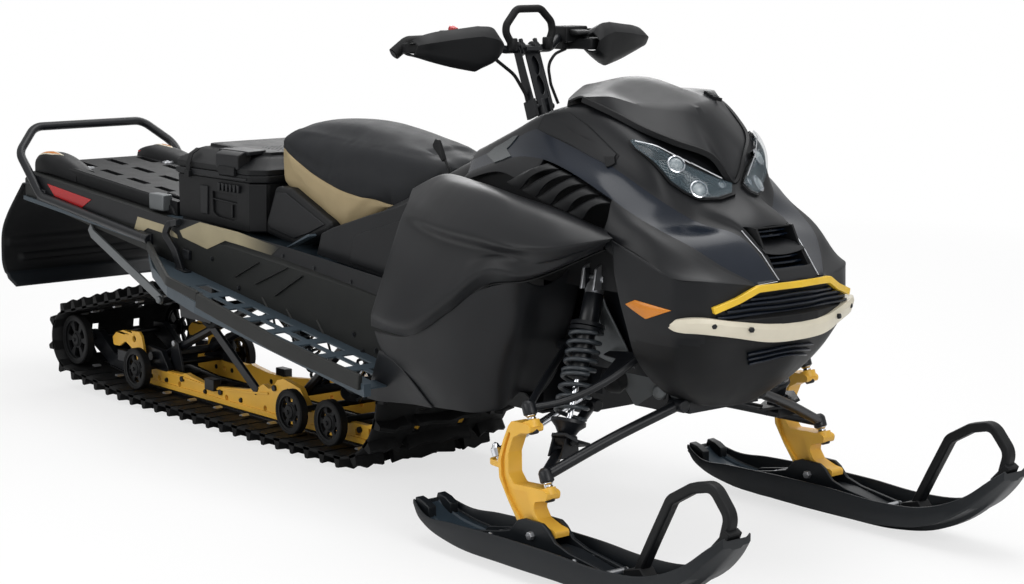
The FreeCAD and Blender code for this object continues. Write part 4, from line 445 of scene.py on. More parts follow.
sidePanels = {
    "upper": [
        [(-750, -270, 825), (-700, -275, 845), (-610, -280, 875), (-455, -290, 870), (-285, -300, 850),
         (-135, -300, 830), (20, -290, 795)],
        [(-720, -300, 815), (-650, -320, 825), (-525, -345, 855), (-370, -360, 865), (-210, -370, 845),
         (-55, -365, 815), (45, -310, 790)],
        [(-695, -330, 795), (-605, -365, 795), (-455, -400, 805), (-295, -420, 810), (-145, -420, 795),
         (-35, -400, 775), (65, -320, 788)],
        [(-685, -350, 775), (-565, -390, 770), (-420, -430, 765), (-260, -450, 760), (-115, -445, 750),
         (-50, -420, 755), (75, -325, 785)],
        [(-680, -365, 755), (-565, -385, 740), (-460, -405, 735), (-310, -420, 730), (-185, -420, 730),
         (-90, -410, 720), (70, -325, 780)],
        [(-650, -420, 680), (-550, -440, 655), (-440, -445, 655), (-335, -445, 680), (-245, -440, 710),
         (-125, -415, 705), (58, -325, 772)],
        [(-685, -455, 525), (-605, -475, 520), (-490, -480, 525), (-365, -470, 600), (-215, -445, 690),
         (-140, -420, 680), (40, -320, 762)],
        [(-705, -440, 490), (-630, -455, 490), (-530, -455, 490), (-385, -445, 565), (-255, -420, 650),
         (-155, -400, 668), (20, -300, 752)],
    ],
    "lower": [
        [(-705, -430, 475), (-550, -445, 485), (-265, -415, 640), (-185, -380, 660), (-190, -300, 640),
         (-170, -200, 700)],
        [(-680, -430, 435), (-520, -440, 460), (-275, -410, 600), (-210, -365, 605), (-215, -290, 590),
         (-190, -200, 590)],
        [(-625, -425, 400), (-465, -435, 410), (-315, -410, 480), (-235, -360, 510), (-245, -285, 490),
         (-235, -200, 480)],
        [(-560, -410, 355), (-440, -415, 360), (-350, -400, 385), (-275, -350, 405), (-280, -280, 415),
         (-265, -200, 400)],
        [(-510, -395, 305), (-430, -395, 310), (-345, -380, 315), (-295, -340, 330), (-310, -280, 355),
         (-300, -210, 350)],
    ],
    "knee": [
        [(-695, -425, 425), (-630, -430, 412), (-505, -400, 303)],
        [(-745, -405, 365), (-690, -405, 365), (-595, -385, 295)],
        [(-800, -385, 280), (-750, -385, 280), (-685, -375, 285)],
    ],
    "liner": [
        [(-385, -440, 560), (-255, -415, 645), (-155, -395, 662), (20, -298, 748)],
        [(-385, -300, 620), (-255, -260, 700), (-155, -230, 735), (0, -230, 752)],
    ],
}


def makeSidePanels():
    # each cover is its control net eased both ways, relaxed, and mirrored for the left
    upper = relaxed(easedNet(sidePanels["upper"], 7, 14, sharpRows=(3, 4, 6)), 3)
    lower = relaxed(easedNet(sidePanels["lower"], 8, 10), 2)
    knee = easedNet(sidePanels["knee"], 6, 6)
    liner = easedNet(sidePanels["liner"], 6, 6)
    pair("sideCover", [sheet(upper)], "panelPlastic", replaces="side_panel_{}", wall=5, bevel=1.2,
         outward=False)
    pair("lowerCover", [sheet(lower)], "panelPlastic", wall=4, bevel=1, outward=False)
    pair("kneeGuard", [sheet(knee)], "panelPlastic", wall=5, bevel=1.2, outward=False)
    pair("wheelhouse", [sheet(liner)], "blackPlastic", wall=3, outward=False)


makeSidePanels()
print("side panels done")


# Hood: one crowned cover from the dash to the nose, with a gloss band along each side

hoodLines = {
    # from the centre line outwards; ten places along the machine in each
    "centre": [(-640, 0, 945), (-460, 0, 1000), (-310, 0, 1050), (-170, 0, 1080), (-30, 0, 1040),
               (70, 0, 975), (160, 0, 885), (272, 0, 806), (310, 0, 752), (358, 0, 693)],
    "inner": [(-630, -90, 940), (-460, -95, 995), (-310, -110, 1048), (-170, -110, 1078), (-30, -110, 1030),
              (70, -90, 965), (150, -50, 870), (265, -56, 804), (309, -60, 752), (357, -60, 693)],
    "shoulder": [(-615, -165, 925), (-460, -180, 985), (-310, -200, 1040), (-170, -195, 1066),
                 (-30, -192, 1020), (55, -180, 955), (118, -105, 866), (250, -76, 806), (307, -66, 753),
                 (356, -64, 694)],
    "bandTop": [(-600, -195, 905), (-460, -195, 960), (-315, -212, 1010), (-125, -225, 965), (-30, -225, 930),
                (95, -185, 860), (155, -120, 810), (258, -78, 787), (305, -70, 750), (355, -68, 695)],
    "bandLow": [(-560, -238, 880), (-360, -240, 935), (-245, -255, 935), (-135, -275, 920), (0, -280, 875),
                (80, -260, 830), (135, -246, 805), (215, -212, 765), (270, -172, 725), (330, -114, 686)],
    "crease": [(-565, -246, 870), (-400, -250, 910), (-280, -270, 900), (-155, -285, 875), (0, -295, 825),
               (100, -276, 805), (160, -262, 785), (230, -225, 750), (275, -182, 720), (335, -116, 685)],
    "border": [(-570, -250, 860), (-415, -255, 895), (-295, -275, 875), (-165, -290, 840), (-20, -300, 780),
               (80, -300, 730), (165, -292, 725), (225, -280, 705), (295, -230, 700), (337, -118, 684)],
}


def makeHood():
    # rows run from the left border over the centre line to the right border
    middle, rowSteps, columnSteps = len(hoodLines) - 1, 5, 9
    control = wholeWidth(np.array(list(hoodLines.values()))[::-1] * (1, -1, 1))
    creases = (middle - 4, middle - 3, middle + 3, middle + 4)
    grid = relaxed(easedNet(control, rowSteps, columnSteps, sharpRows=creases), 2)
    # left open: the intake between the two bright edges, and the strip under the louvres
    faces = np.array(gridFaces(*grid.shape[:2]))
    row, column = np.divmod(faces[:, 0], grid.shape[1])
    fromMiddle = abs(row + 0.5 - rowSteps * middle) / rowSteps
    intake = (fromMiddle < 2) & (column >= columnSteps * 7) & (column < columnSteps * 9 - 4)
    louvreStrip = (fromMiddle > 4) & (column >= columnSteps * 1.9) & (column < columnSteps * 4.2)
    closed = ~(intake | louvreStrip)
    hood = piece("hoodCover", [(grid.reshape(-1, 3), faces[closed].tolist())], "panelPlastic",
                 replaces="hood", wall=5, bevel=1, outward=False)
    band = (fromMiddle > 3) & (fromMiddle < 4)
    paintFaces(hood, "glossPanel", band[closed])
    return grid


hoodSurface = makeHood()
print("hood done")


# Nose: the cover under the hood down to the belly, grille, gold trim, intake blades

noseLines = {
    # seven places from the rear edge round to the centre in each, from the top down
    "top": [(45, -300, 775), (120, -299, 752), (225, -280, 705), (295, -230, 700), (336, -118, 684),
            (357, -62, 690), (360, 0, 690)],
    "trim": [(60, -305, 700), (135, -301, 668), (232, -282, 655), (300, -225, 640), (329, -112, 655),
             (343, -60, 664), (346, 0, 666)],
    "grille": [(75, -302, 640), (140, -301, 620), (236, -282, 605), (296, -224, 602), (322, -108, 610),
               (334, -58, 612), (337, 0, 613)],
    "bumper": [(95, -296, 575), (150, -292, 572), (236, -279, 572), (288, -220, 562), (316, -104, 560),
               (328, -55, 560), (331, 0, 560)],
    "chin": [(105, -285, 520), (150, -275, 508), (210, -250, 500), (255, -192, 495), (285, -98, 490),
             (296, -50, 488), (299, 0, 488)],
    "belly": [(95, -235, 460), (130, -215, 440), (175, -185, 430), (208, -140, 425), (230, -75, 420),
              (236, -38, 419), (238, 0, 418)],
    "keel": [(70, -150, 400), (110, -125, 385), (135, -105, 375), (155, -80, 370), (165, -45, 367),
             (168, -22, 366), (170, 0, 366)],
}


def makeNose():
    places = np.array(list(noseLines.values())).transpose(1, 0, 2)
    control = wholeWidth(places).transpose(1, 0, 2)
    grid = relaxed(easedNet(control, 8, 8, sharpRows=(1, 3), sharpColumns=(2, 4, 8, 10)), 1)
    shell = piece("noseShell", [sheet(grid)], "panelPlastic", replaces="nose_cover", wall=4, bevel=1,
                  outward=False)
    # black between the trim and the bumper, and all of it below the bumper
    middles = grid.reshape(-1, 3)[np.array(gridFaces(*grid.shape[:2]))].mean(axis=1)
    side, height = abs(middles[:, 1]), middles[:, 2]
    grille = (side < 228) & (height < 680 - 0.36 * np.maximum(side - 100, 0))
    paintFaces(shell, "blackPlastic", grille | (height < 548))
    return grid


noseSurface = makeNose()
print("nose done")


# Front details: lamps, shield, intake, louvres, trim, grille, bumper

frontDetails = {
    "lamp": [(2, -200, 995), (22, -194, 1001), (62, -183, 996), (100, -165, 985), (132, -125, 962),
             (155, -85, 940), (158, -50, 920), (158, -22, 898), (163, -28, 868), (150, -60, 856),
             (128, -100, 862), (95, -158, 905), (70, -185, 950), (20, -201, 980)],
    # two projectors and the marker lamp: place and radius
    "lampInsides": [((87, -136, 943), 22), ((138, -106, 893), 22), ((157, -50, 903), 9)],
    "lampWay": (0.80, -0.34, 0.50),
    "shield": [
        # spokes from the right side to the centre: lower edge, ridge, crown, back, foot
        [(-165, -205, 1088), (-152, -203, 1092), (-190, -192, 1092), (-235, -188, 1078), (-240, -190, 1035)],
        [(-70, -185, 1055), (-100, -175, 1094), (-200, -150, 1096), (-275, -150, 1080), (-285, -155, 1035)],
        [(-5, -161, 1025), (-50, -130, 1077), (-190, -110, 1102), (-300, -110, 1090), (-315, -115, 1038)],
        [(65, -120, 995), (-15, -85, 1073), (-185, -70, 1116), (-325, -70, 1098), (-340, -75, 1040)],
        [(122, -55, 962), (8, -40, 1070), (-180, -35, 1127), (-345, -35, 1104), (-358, -38, 1042)],
        [(141, 0, 895), (20, 0, 1067), (-180, 0, 1131), (-352, 0, 1106), (-365, 0, 1043)],
    ],
    "door": [(-310, -215, 1005), (-300, -205, 1040), (-210, -205, 1050), (-135, -215, 1025), (-25, -235, 970),
             (-45, -225, 935)],
    "window": [(-528, -205, 928), (-510, -205, 953), (-434, -205, 982), (-407, -205, 985), (-438, -205, 944),
               (-392, -225, 925), (-450, -225, 900)],
    "louvreLow": [(-294, -288, 864), (-231, -292, 850), (-170, -297, 838), (-110, -300, 826),
                  (-52, -302, 814)],
    "louvreHigh": [(-182, -262, 918), (-130, -265, 907), (-81, -267, 890), (-31, -268, 870), (16, -267, 853)],
    "trimPath": [(303, -226, 634), (322, -165, 655), (338, -118, 678), (352, -60, 681), (357, 0, 681)],
    "slatLevels": [(662, 128), (648, 158), (634, 190), (620, 212)],
    "lipPath": [(292, -222, 604), (338, -105, 606), (352, -58, 607), (356, 0, 607)],
    "lowerSlats": [(522, 108), (507, 104), (492, 98)],
    "reflector": [(98, -300, 633), (130, -300, 646), (232, -288, 632), (162, -298, 605)],
    "bumper": [
        # from the right tip to the centre: station, side, top, bottom of the outer face
        (236, -292, 601, 593), (250, -289, 611, 587), (271, -281, 616, 584), (296, -261, 619, 583),
        (334, -180, 608, 570), (362, -94, 597, 554), (368, 0, 594, 550),
    ],
    "bumperBolts": [(311, -228, 600), (349, -146, 588)],
}


def grown(outline, share):
    # an outline drawn out from its middle
    outline = np.asarray(outline, float)
    middle = outline.mean(axis=0)
    return middle + (outline - middle) * share


def makeLamps(hood):
    # a black bezel and bowl on the hood, two projectors and a marker, and a clear domed cover
    outline = np.array(frontDetails["lamp"], float)
    rings, lenses = [], []
    arc = np.linspace(0, math.pi / 2, 7)
    for spot, radius in frontDetails["lampInsides"]:
        seat, way = laidOn(hood, [spot], 9)[0], frontDetails["lampWay"]
        ring = [(-3, radius), (6, radius), (7, radius * 0.86), (1, radius * 0.8), (1, 0)]
        rings.append(turned(ring, seat, way))
        dome = [(1 + 0.5 * radius * math.sin(angle), radius * 0.8 * math.cos(angle)) for angle in arc]
        lenses.append(turned([(0, 0)] + dome, seat, way))
    # a thin bright line on the bowl, one fifth as thick across the hood as along it
    line, lineFaces = tube(outline[[0, 2, 4, 6]] + [(12, 2, 1), (0, 8, 2), (0, 12, 0), (0, 2, 0)], 1.6)
    line = laidOn(hood, line, 12) + (line - laidOn(hood, line, 0)) * 0.2
    cover = laidPlate(hood, outline, lift=15, thick=3.5, dome=9)
    pair("lampBezel", [laidPlate(hood, grown(outline, 1.07), lift=7, thick=9)], "blackPlastic", bevel=1)
    pair("lampBowl", [laidPlate(hood, outline, lift=8.5, thick=6)], "lampBowl")
    pair("lampRings", rings, "chrome")
    pair("lampLenses", lenses, "projectorGlass", angle=60)
    pair("lampLine", [(line, lineFaces)], "bareMetal")
    pair("lampCover", [cover], "clearLens", replaces="headlight_{}", angle=50)


def makeShield():
    # the wind deflector: spokes eased round from side to side and from the lower edge over the crown
    grid = easedNet(wholeWidth(frontDetails["shield"]), 6, 8, sharpColumns=(1, 3))
    piece("windDeflector", [sheet(grid)], "panelPlastic", replaces="windshield", wall=5, bevel=1,
          outward=False)
    # its lip along the lower edge, and the vents on the left crown
    piece("deflectorLip", [swept(grid[:, 0] + (2, 0, -2), plank(4, 7))], "blackPlastic", bevel=1)
    vents = []
    for number in range(4):
        middle = np.array([-85 + 16 * number, 140 - 6 * number, 1088 - 3 * number])
        vents.append(swept([middle + (-14, -2, 2), middle + (12, 4, -3)],
                           [(-2, -4), (2, -4), (2, 5), (-2, 5)]))
    piece("deflectorVents", vents, "blackPlastic", bevel=0.8)


def makeIntake():
    # the well behind the two nose openings, the blade between them and the slats in each;
    # each line runs from side to side in shares of its half width
    ends = np.linspace(-1, 1, 7)
    rows = [(276, 52, 803), (215, 50, 800), (215, 56, 742), (262, 60, 700), (338, 62, 700)]
    well = np.array([[(station, half * share, height) for share in ends] for station, half, height in rows])
    piece("intakeWell", [sheet(well)], "blackPlastic", wall=3, outward=False)
    cheek = [(276, 806), (215, 803), (215, 738), (262, 697), (345, 700), (306, 752)]
    piece("intakeCheeks", [slab(cheek, low, low + 6) for low in (-62, 58)], "blackPlastic")
    blade = []
    for share in ends:
        sag = 1 - share * share
        blade.append([(240, 62 * share, 772), (292, 68 * share, 768 - 6 * sag),
                      (313, 66 * share, 752 - 8 * sag), (262, 60 * share, 742)])
    bladeFaces = gridFaces(7, 4, closedColumns=True)
    piece("intakeBlade", [(np.array(blade).reshape(-1, 3), bladeFaces)], "panelPlastic", bevel=1.5)
    slats = []
    for station, height in ((258, 794), (266, 784), (300, 738), (312, 726), (322, 714)):
        slats.append(swept([(station - 10 * share * share, 60 * share, height) for share in ends],
                           plank(7, 2.2)))
    piece("intakeSlats", slats, "glossPanel", bevel=0.8)
    edge = [(250, -81, 800), (262, -79, 789), (306, -71, 751), (357, -66, 695)]
    pair("intakeEdge", [tube(edge, 1.3, bend=10, sides=8)], "bareMetal")


def louvre(low, high, lowStep, highStep):
    # one fin: its front edge stands proud at the knee, its rear edge tucks under the fin behind it
    share = np.linspace(0, 1, 9)[:, None]
    line = high * (1 - share) + low * share
    rise = np.sin(math.pi * np.minimum(share * 1.1, 1)) ** 0.7
    front = line + rise * (0, -16, 13)
    back = line - (highStep * (1 - share) + lowStep * share) * 0.86 + rise * (0, -5, 3)
    middle = (front + back) / 2 + rise * (0, -4, 4)
    return np.stack([back, middle, front])


def makeLouvres():
    ends = [np.array(frontDetails[name], float) for name in ("louvreLow", "louvreHigh")]
    steps = [np.diff(end, axis=0, prepend=2 * end[:1] - end[1:2]) for end in ends]
    fins = [louvre(*parts) for parts in zip(*ends, *steps)]
    pair("louvres", [sheet(fin) for fin in fins], "blackPlastic", wall=4, bevel=1, outward=False)
    wall = [(-640, 850), (-560, 872), (-470, 888), (-360, 905), (-240, 915), (-120, 895), (0, 850), (70, 800),
            (70, 640), (-640, 640)]
    pair("dashWall", [slab(wall, -234, -230)], "blackPlastic")


def makeHoodPlates(hood):
    door, window = frontDetails["door"], frontDetails["window"]
    latch = [(-62, -224, 955), (-30, -230, 962), (-22, -236, 948), (-45, -232, 930)]
    pair("doorSeam", [laidPlate(hood, grown(door, 1.06), lift=1.2, thick=4)], "blackPlastic")
    pair("pocketDoor", [laidPlate(hood, door, lift=3.2, thick=5, dome=2)], "panelPlastic", bevel=1)
    pair("sideWindow", [laidPlate(hood, window, lift=2.5, thick=4)], "smokeWindow", bevel=1)
    pair("doorLatch", [laidPlate(hood, latch, lift=6, thick=6)], "blackPlastic", bevel=1)


def acrossNose(half, height):
    # a level row of points across the nose, ready to be laid on it
    return [(345 - 45 * share ** 2, half * share, height) for share in np.linspace(-1, 1, 13)]


def makeNoseTrim(nose):
    path = easedCorners(wholeWidth(frontDetails["trimPath"]), 22, 4)
    piece("noseTrim", [swept(path + (3, 0, 0), plank(7, 8))], "goldTrim", bevel=2, segments=3)
    slats = []
    for name, profile in (("slatLevels", [(-6, -3.5), (6, -5), (6, 0), (-6, 3.5)]),
                          ("lowerSlats", [(-5, -3.5), (5, -4), (5, 0), (-5, 3.5)])):
        for height, half in frontDetails[name]:
            slats.append(swept(laidOn(nose, acrossNose(half, height), 4), profile))
    piece("grilleSlats", slats, "glossPanel", bevel=1)
    lip = easedCorners(wholeWidth(frontDetails["lipPath"]), 30, 4)
    piece("noseLip", [swept(lip, [(-16, -14), (12, -14), (12, 4), (-4, 12), (-16, 12)])], "blackPlastic",
          bevel=2)
    reflector = laidPlate(nose, frontDetails["reflector"], lift=3, thick=5, dome=1.5)
    piece("reflectors", both([reflector]), "orangeLens", bevel=1)


def makeBumper():
    # a rounded face swept from tip to tip: its depth, top and bottom follow the control rows
    rows = []
    for station, side, top, bottom in frontDetails["bumper"]:
        tall = top - bottom
        back, backSide = station - min(34, 6 + tall * 0.75), side * 0.93
        rows.append([(back, backSide, top - 1), (station - 3, side, top),
                     (station + 1, side, top - tall * 0.3), (station - 3, side, bottom + tall * 0.3),
                     (station - 8, side, bottom), (back, backSide, bottom + 2)])
    face = ringShell(eased(wholeWidth(rows), 6))
    piece("bumper", [face], "creamPlastic", replaces="front_bumper", bevel=3, segments=3, angle=22)
    way = np.array([0.9, -0.4, 0.1])
    studs = [turned([(-4, 7), (2.5, 7), (4.5, 4.5), (4.5, 0)], spot + way * 3, way, sides=6)
             for spot in frontDetails["bumperBolts"]]
    piece("bumperBolts", both(studs), "blackMetal", bevel=0.6)


makeLamps(hoodSurface)
makeShield()
makeIntake()
makeLouvres()
makeHoodPlates(hoodSurface)
makeNoseTrim(noseSurface)
makeBumper()
print("front details done")


# Front suspension: arms, shocks, tie rods, subframe plates

suspension = {
    "kingpinWay": (-0.3586, 0, 0.9335), "kingpinLow": (20, -470, 199), "kingpinHigh": (-38, -470, 350),
    "lowerArm": [[(100, -132, 372), (52, -305, 306), (8, -466, 235)],
                 [(-205, -132, 325), (-105, -300, 280), (4, -468, 233)]],
    "upperArm": [[(60, -205, 500), (30, -300, 440), (-14, -398, 398), (-50, -468, 386)],
                 [(-215, -205, 482), (-150, -330, 425), (-92, -420, 394), (-52, -468, 385)]],
    "shockTop": (-85, -225, 665), "shockFoot": (-40, -366, 295),
    "tieEye": (-165, -470, 262), "tieInner": (-140, -150, 395),
    "tower": [(-118, -232, 655), (-78, -226, 662), (-52, -222, 600), (0, -206, 510), (12, -182, 448),
              (-40, -160, 440), (-105, -196, 468), (-128, -222, 560)],
    "shelf": [(-48, -166, 446), (12, -184, 452), (60, -158, 438), (128, -124, 428), (118, -112, 366),
              (22, -124, 350), (-40, -138, 352), (-70, -150, 400)],
}


def makeFrontArms():
    # each arm: two bowed tubes, bushes on the pivots, a ball housing with its boot at the spindle
    way = suspension["kingpinWay"]
    tubes, bushes, boots = [], [], []
    for name, radius in (("lowerArm", 13), ("upperArm", 9)):
        for line in suspension[name]:
            tubes.append(swept(eased(line, 6), circle(radius, 18)))
            bushes.append(turned([(-24, 14), (-22, 16), (22, 16), (24, 14)], line[0], (1, 0, 0)))
        seat = suspension[name][0][-1]
        bushes.append(turned([(-17, 13), (-14, 17), (8, 17), (14, 14), (19, 8)], seat, way))
        boots.append(turned([(-30, 8), (-26, 11), (-22, 9), (-18, 13), (-14, 12)], seat, way))
    gusset = flatPlate([(48, -214, 492), (-20, -218, 484), (2, -300, 438), (24, -296, 440)], 5)
    web = flatPlate([(60, -205, 503), (-60, -208, 490), (-66, -222, 482), (40, -232, 478)], 5)
    lug = flatPlate([(-88, -330, 262), (12, -334, 286), (20, -380, 302), (-10, -392, 316), (-60, -392, 308),
                     (-90, -360, 276)], 8)
    foot = suspension["shockFoot"]
    ears = [slab([(-400, foot[2] - 36), (-340, foot[2] - 40), (-348, foot[2] + 12), (-366, foot[2] + 20),
                  (-384, foot[2] + 12)], foot[0] + shift, foot[0] + shift + 6, axis=0) for shift in (-24, 18)]
    bolt = turned([(-32, 0), (-32, 9), (-25, 9), (-25, 6), (26, 6), (26, 9), (32, 9), (32, 0)], foot,
                  (1, 0, 0), sides=12)
    pair("armTubes", tubes, "blackMetal", replaces="front_arms_{}")
    pair("armBushes", bushes + [gusset, web, lug] + ears + [bolt], "blackMetal", bevel=1)
    pair("ballStuds", boots, "chrome")


def makeSkiShocks():
    # silver clevis, black body with its reservoir rings, bright shaft, two-rate spring and black collars
    top, foot = np.array(suspension["shockTop"], float), np.array(suspension["shockFoot"], float)
    along, length = foot - top, np.linalg.norm(foot - top)
    way = along / length
    body = turned([(34, 0), (34, 19), (42, 24), (110, 24), (120, 22), (220, 22), (232, 25), (246, 25),
                   (250, 12)], top, way)
    shaft = turned([(240, 7.5), (length - 26, 7.5)], top, way)
    collars = [turned([(a, 24), (a, 40), (a + 9, 42), (a + 11, 24)], top, way) for a in (112, 124)]
    cup = turned([(length - 50, 8), (length - 50, 42), (length - 42, 43), (length - 30, 30),
                  (length - 14, 20)], top, way)
    eye = turned([(-17, 10), (-17, 18), (17, 18), (17, 10)], foot, (1, 0, 0))
    tight = coil(top + way * 136, top + way * 236, 37, 5.5, 4.5)
    wide = coil(top + way * 236, top + way * (length - 54), 37, 5.5, 4)
    clevis = [slab([(-260, 640), (-252, 690), (-236, 700), (-216, 700), (-206, 684), (-214, 640)],
                   top[0] + shift, top[0] + shift + 7, axis=0) for shift in (-25, 18)]
    head = turned([(-30, 0), (-30, 12), (30, 12), (30, 0)], top, (1, 0, 0), sides=12)
    boss = turned([(8, 16), (20, 22), (38, 22), (44, 24)], top, way)
    pair("shockBody", [body, cup, eye, *collars], "blackMetal", replaces="ski_shock_{}")
    pair("shockShaft", [shaft], "chrome")
    pair("shockSpring", [tight, wide], "springSteel", angle=60)
    pair("shockClevis", [*clevis, head, boss], "bareMetal", bevel=1.5)


def makeTieRods():
    # a bright turnbuckle between two black ends, with a ball stud at the spindle and a boot at the rack
    eye, inner = np.array(suspension["tieEye"], float), np.array(suspension["tieInner"], float)
    length = np.linalg.norm(inner - eye)
    rod = turned([(58, 8), (60, 9.5), (length - 76, 9.5), (length - 74, 7)], eye, inner - eye)
    ends = [turned([(10, 7), (14, 8), (52, 8), (54, 11), (64, 11), (64, 8)], eye, inner - eye, sides=12),
            turned([(length - 80, 11), (length - 68, 11), (length - 66, 8), (length, 8)], eye, inner - eye,
                   sides=12)]
    ring = turned([(-12, 8), (-10, 13), (9, 14), (14, 9), (20, 7), (24, 0)], eye, suspension["kingpinWay"])
    pair("tieRod", [rod], "chrome", body="tie_{}", replaces="tie_rod_{}")
    pair("tieEnds", ends, "blackMetal", body="tie_{}")
    pair("tieBall", [ring], "chrome", body="tie_{}")


def makeSubframe():
    # grey plates outside the black inner frame, stamped with a slot and a dimple, and the rack's dark cover
    slot = flatPlate([(-86, -226, 610), (-78, -225, 618), (-82, -222, 545), (-90, -222, 540)], 8)
    dimple = turned([(0, 20), (5, 16), (8, 0)], (52, -147, 398), (0.45, -0.88, 0.1))
    rib = turned([(0, 10), (6, 7), (7, 0)], (100, -133, 400), (0.45, -0.88, 0.1))
    cover = turned([(-12, 20), (0, 40), (14, 44), (26, 38), (38, 40), (52, 34), (66, 36), (80, 26), (88, 14)],
                   (-70, -120, 440), (-0.25, -0.85, -0.5))
    plates = [flatPlate(suspension["tower"], 6), flatPlate(suspension["shelf"], 6)]
    piece("subframePlates", both(plates + [dimple, rib]), "castMetal", bevel=2.5, segments=3)
    piece("towerSlots", both([slot]), "blackPlastic")
    piece("rackCovers", both([cover]), "blackPlastic", bevel=1)


makeFrontArms()
makeSkiShocks()
makeTieRods()
makeSubframe()
print("front suspension done")


# Steered pieces: yellow spindles and the skis with their saddles, decks and loops

skiSide = -470
skiParts = {
    "spindle": [(70, 102), (40, 92), (14, 86), (-30, 90), (-62, 112), (-100, 160), (-132, 208), (-137, 250),
                (-120, 298), (-100, 338), (-88, 352), (-38, 354), (-22, 350), (-20, 334), (-56, 328),
                (-82, 314), (-99, 275), (-98, 225), (-78, 203), (-20, 206), (28, 206), (40, 202), (38, 184),
                (-4, 174), (-8, 156), (8, 134), (44, 122), (72, 118)],
    "spindlePocket": [(-38, 106), (-76, 142), (-108, 180), (-125, 216), (-127, 252), (-112, 296), (-98, 326),
                      (-90, 322), (-104, 292), (-112, 262), (-109, 218), (-86, 190), (-30, 192), (-22, 166),
                      (-6, 132), (24, 114), (10, 100)],
    "sections": [
        # station, half width, keel bottom, edge rise, floor, side top
        (-430, 50, 86, 4, 97, 104), (-400, 60, 62, 5, 78, 92), (-358, 70, 45, 8, 60, 80),
        (-250, 78, 13, 20, 44, 84), (-51, 82, 0, 28, 44, 90), (118, 82, 0, 28, 44, 90),
        (276, 80, 4, 24, 48, 85), (414, 77, 31, 20, 68, 98), (540, 70, 101, 14, 134, 150),
        (600, 56, 160, 9, 188, 198), (629, 42, 192, 7, 214, 221),
    ],
    "saddle": [(-250, 42), (-228, 64), (-120, 84), (-80, 94), (-52, 124), (-28, 132), (36, 132), (54, 122),
               (80, 96), (128, 82), (256, 64), (282, 42)],
    "loop": [(598, -470, 206), (612, -470, 258), (562, -470, 315), (500, -470, 300), (434, -470, 262),
             (378, -470, 160), (326, -470, 62)],
}


def skiProfile(station, half, keelLow, edgeRise, floor, sideTop):
    # half of a ski's section from the keel out, up the side, over its lip and down to the floor
    keel, wall = 12, 7
    right = [(keel, keelLow), (keel + 8, keelLow + edgeRise * 0.7), (half - 4, keelLow + edgeRise * 0.92),
             (half, keelLow + edgeRise + 4), (half, sideTop - 3), (half - 2, sideTop),
             (half - wall + 2, sideTop), (half - wall, sideTop - 3), (half - wall - 2, floor + 2),
             (half - wall - 8, floor)]
    profile = right + [(-side, height) for side, height in reversed(right)]
    return [(station, skiSide + side, height) for side, height in profile]


def makeSpindles():
    # a core with raised rims on both faces, bosses on the king pin, the toe and the steering arm
    way, tieEye = suspension["kingpinWay"], suspension["tieEye"]
    pins = (suspension["kingpinLow"], suspension["kingpinHigh"])
    outline, pocket = rounded(skiParts["spindle"], 9), rounded(skiParts["spindlePocket"], 6, 2)
    arm = [(-130, -488), (-130, -452), (-168, -456), (-182, -462), (-186, -470), (-182, -478), (-168, -484)]
    parts = [slab(outline, -483, -457), slab(outline, -491, -482.5, holes=[pocket]),
             slab(outline, -457.5, -449, holes=[pocket]),
             *[turned([(-9, 20), (9, 20)], pin, way) for pin in pins],
             turned([(-22, 13), (22, 13)], (0, skiSide, 97)), slab(arm, 231, 245, axis=2)]
    nuts = [turned([(-24, 9), (-22, 12), (-12, 13), (-10, 13)], pin, way, sides=12) for pin in pins]
    nuts.append(turned([(-34, 7), (-32, 11), (-20, 11)], tieEye, way, sides=12))
    studs = [turned([(0, 7), (24, 7)], pin, way) for pin in pins] + [turned([(-24, 6), (-9, 6)], tieEye, way)]
    pair("spindle", parts, "yellowPaint", body="front_{}", bevel=1.6, replaces="spindle_{}")
    pair("spindleNuts", nuts, "blackMetal", body="front_{}", bevel=0.8)
    pair("spindleStuds", studs, "chrome", body="front_{}")


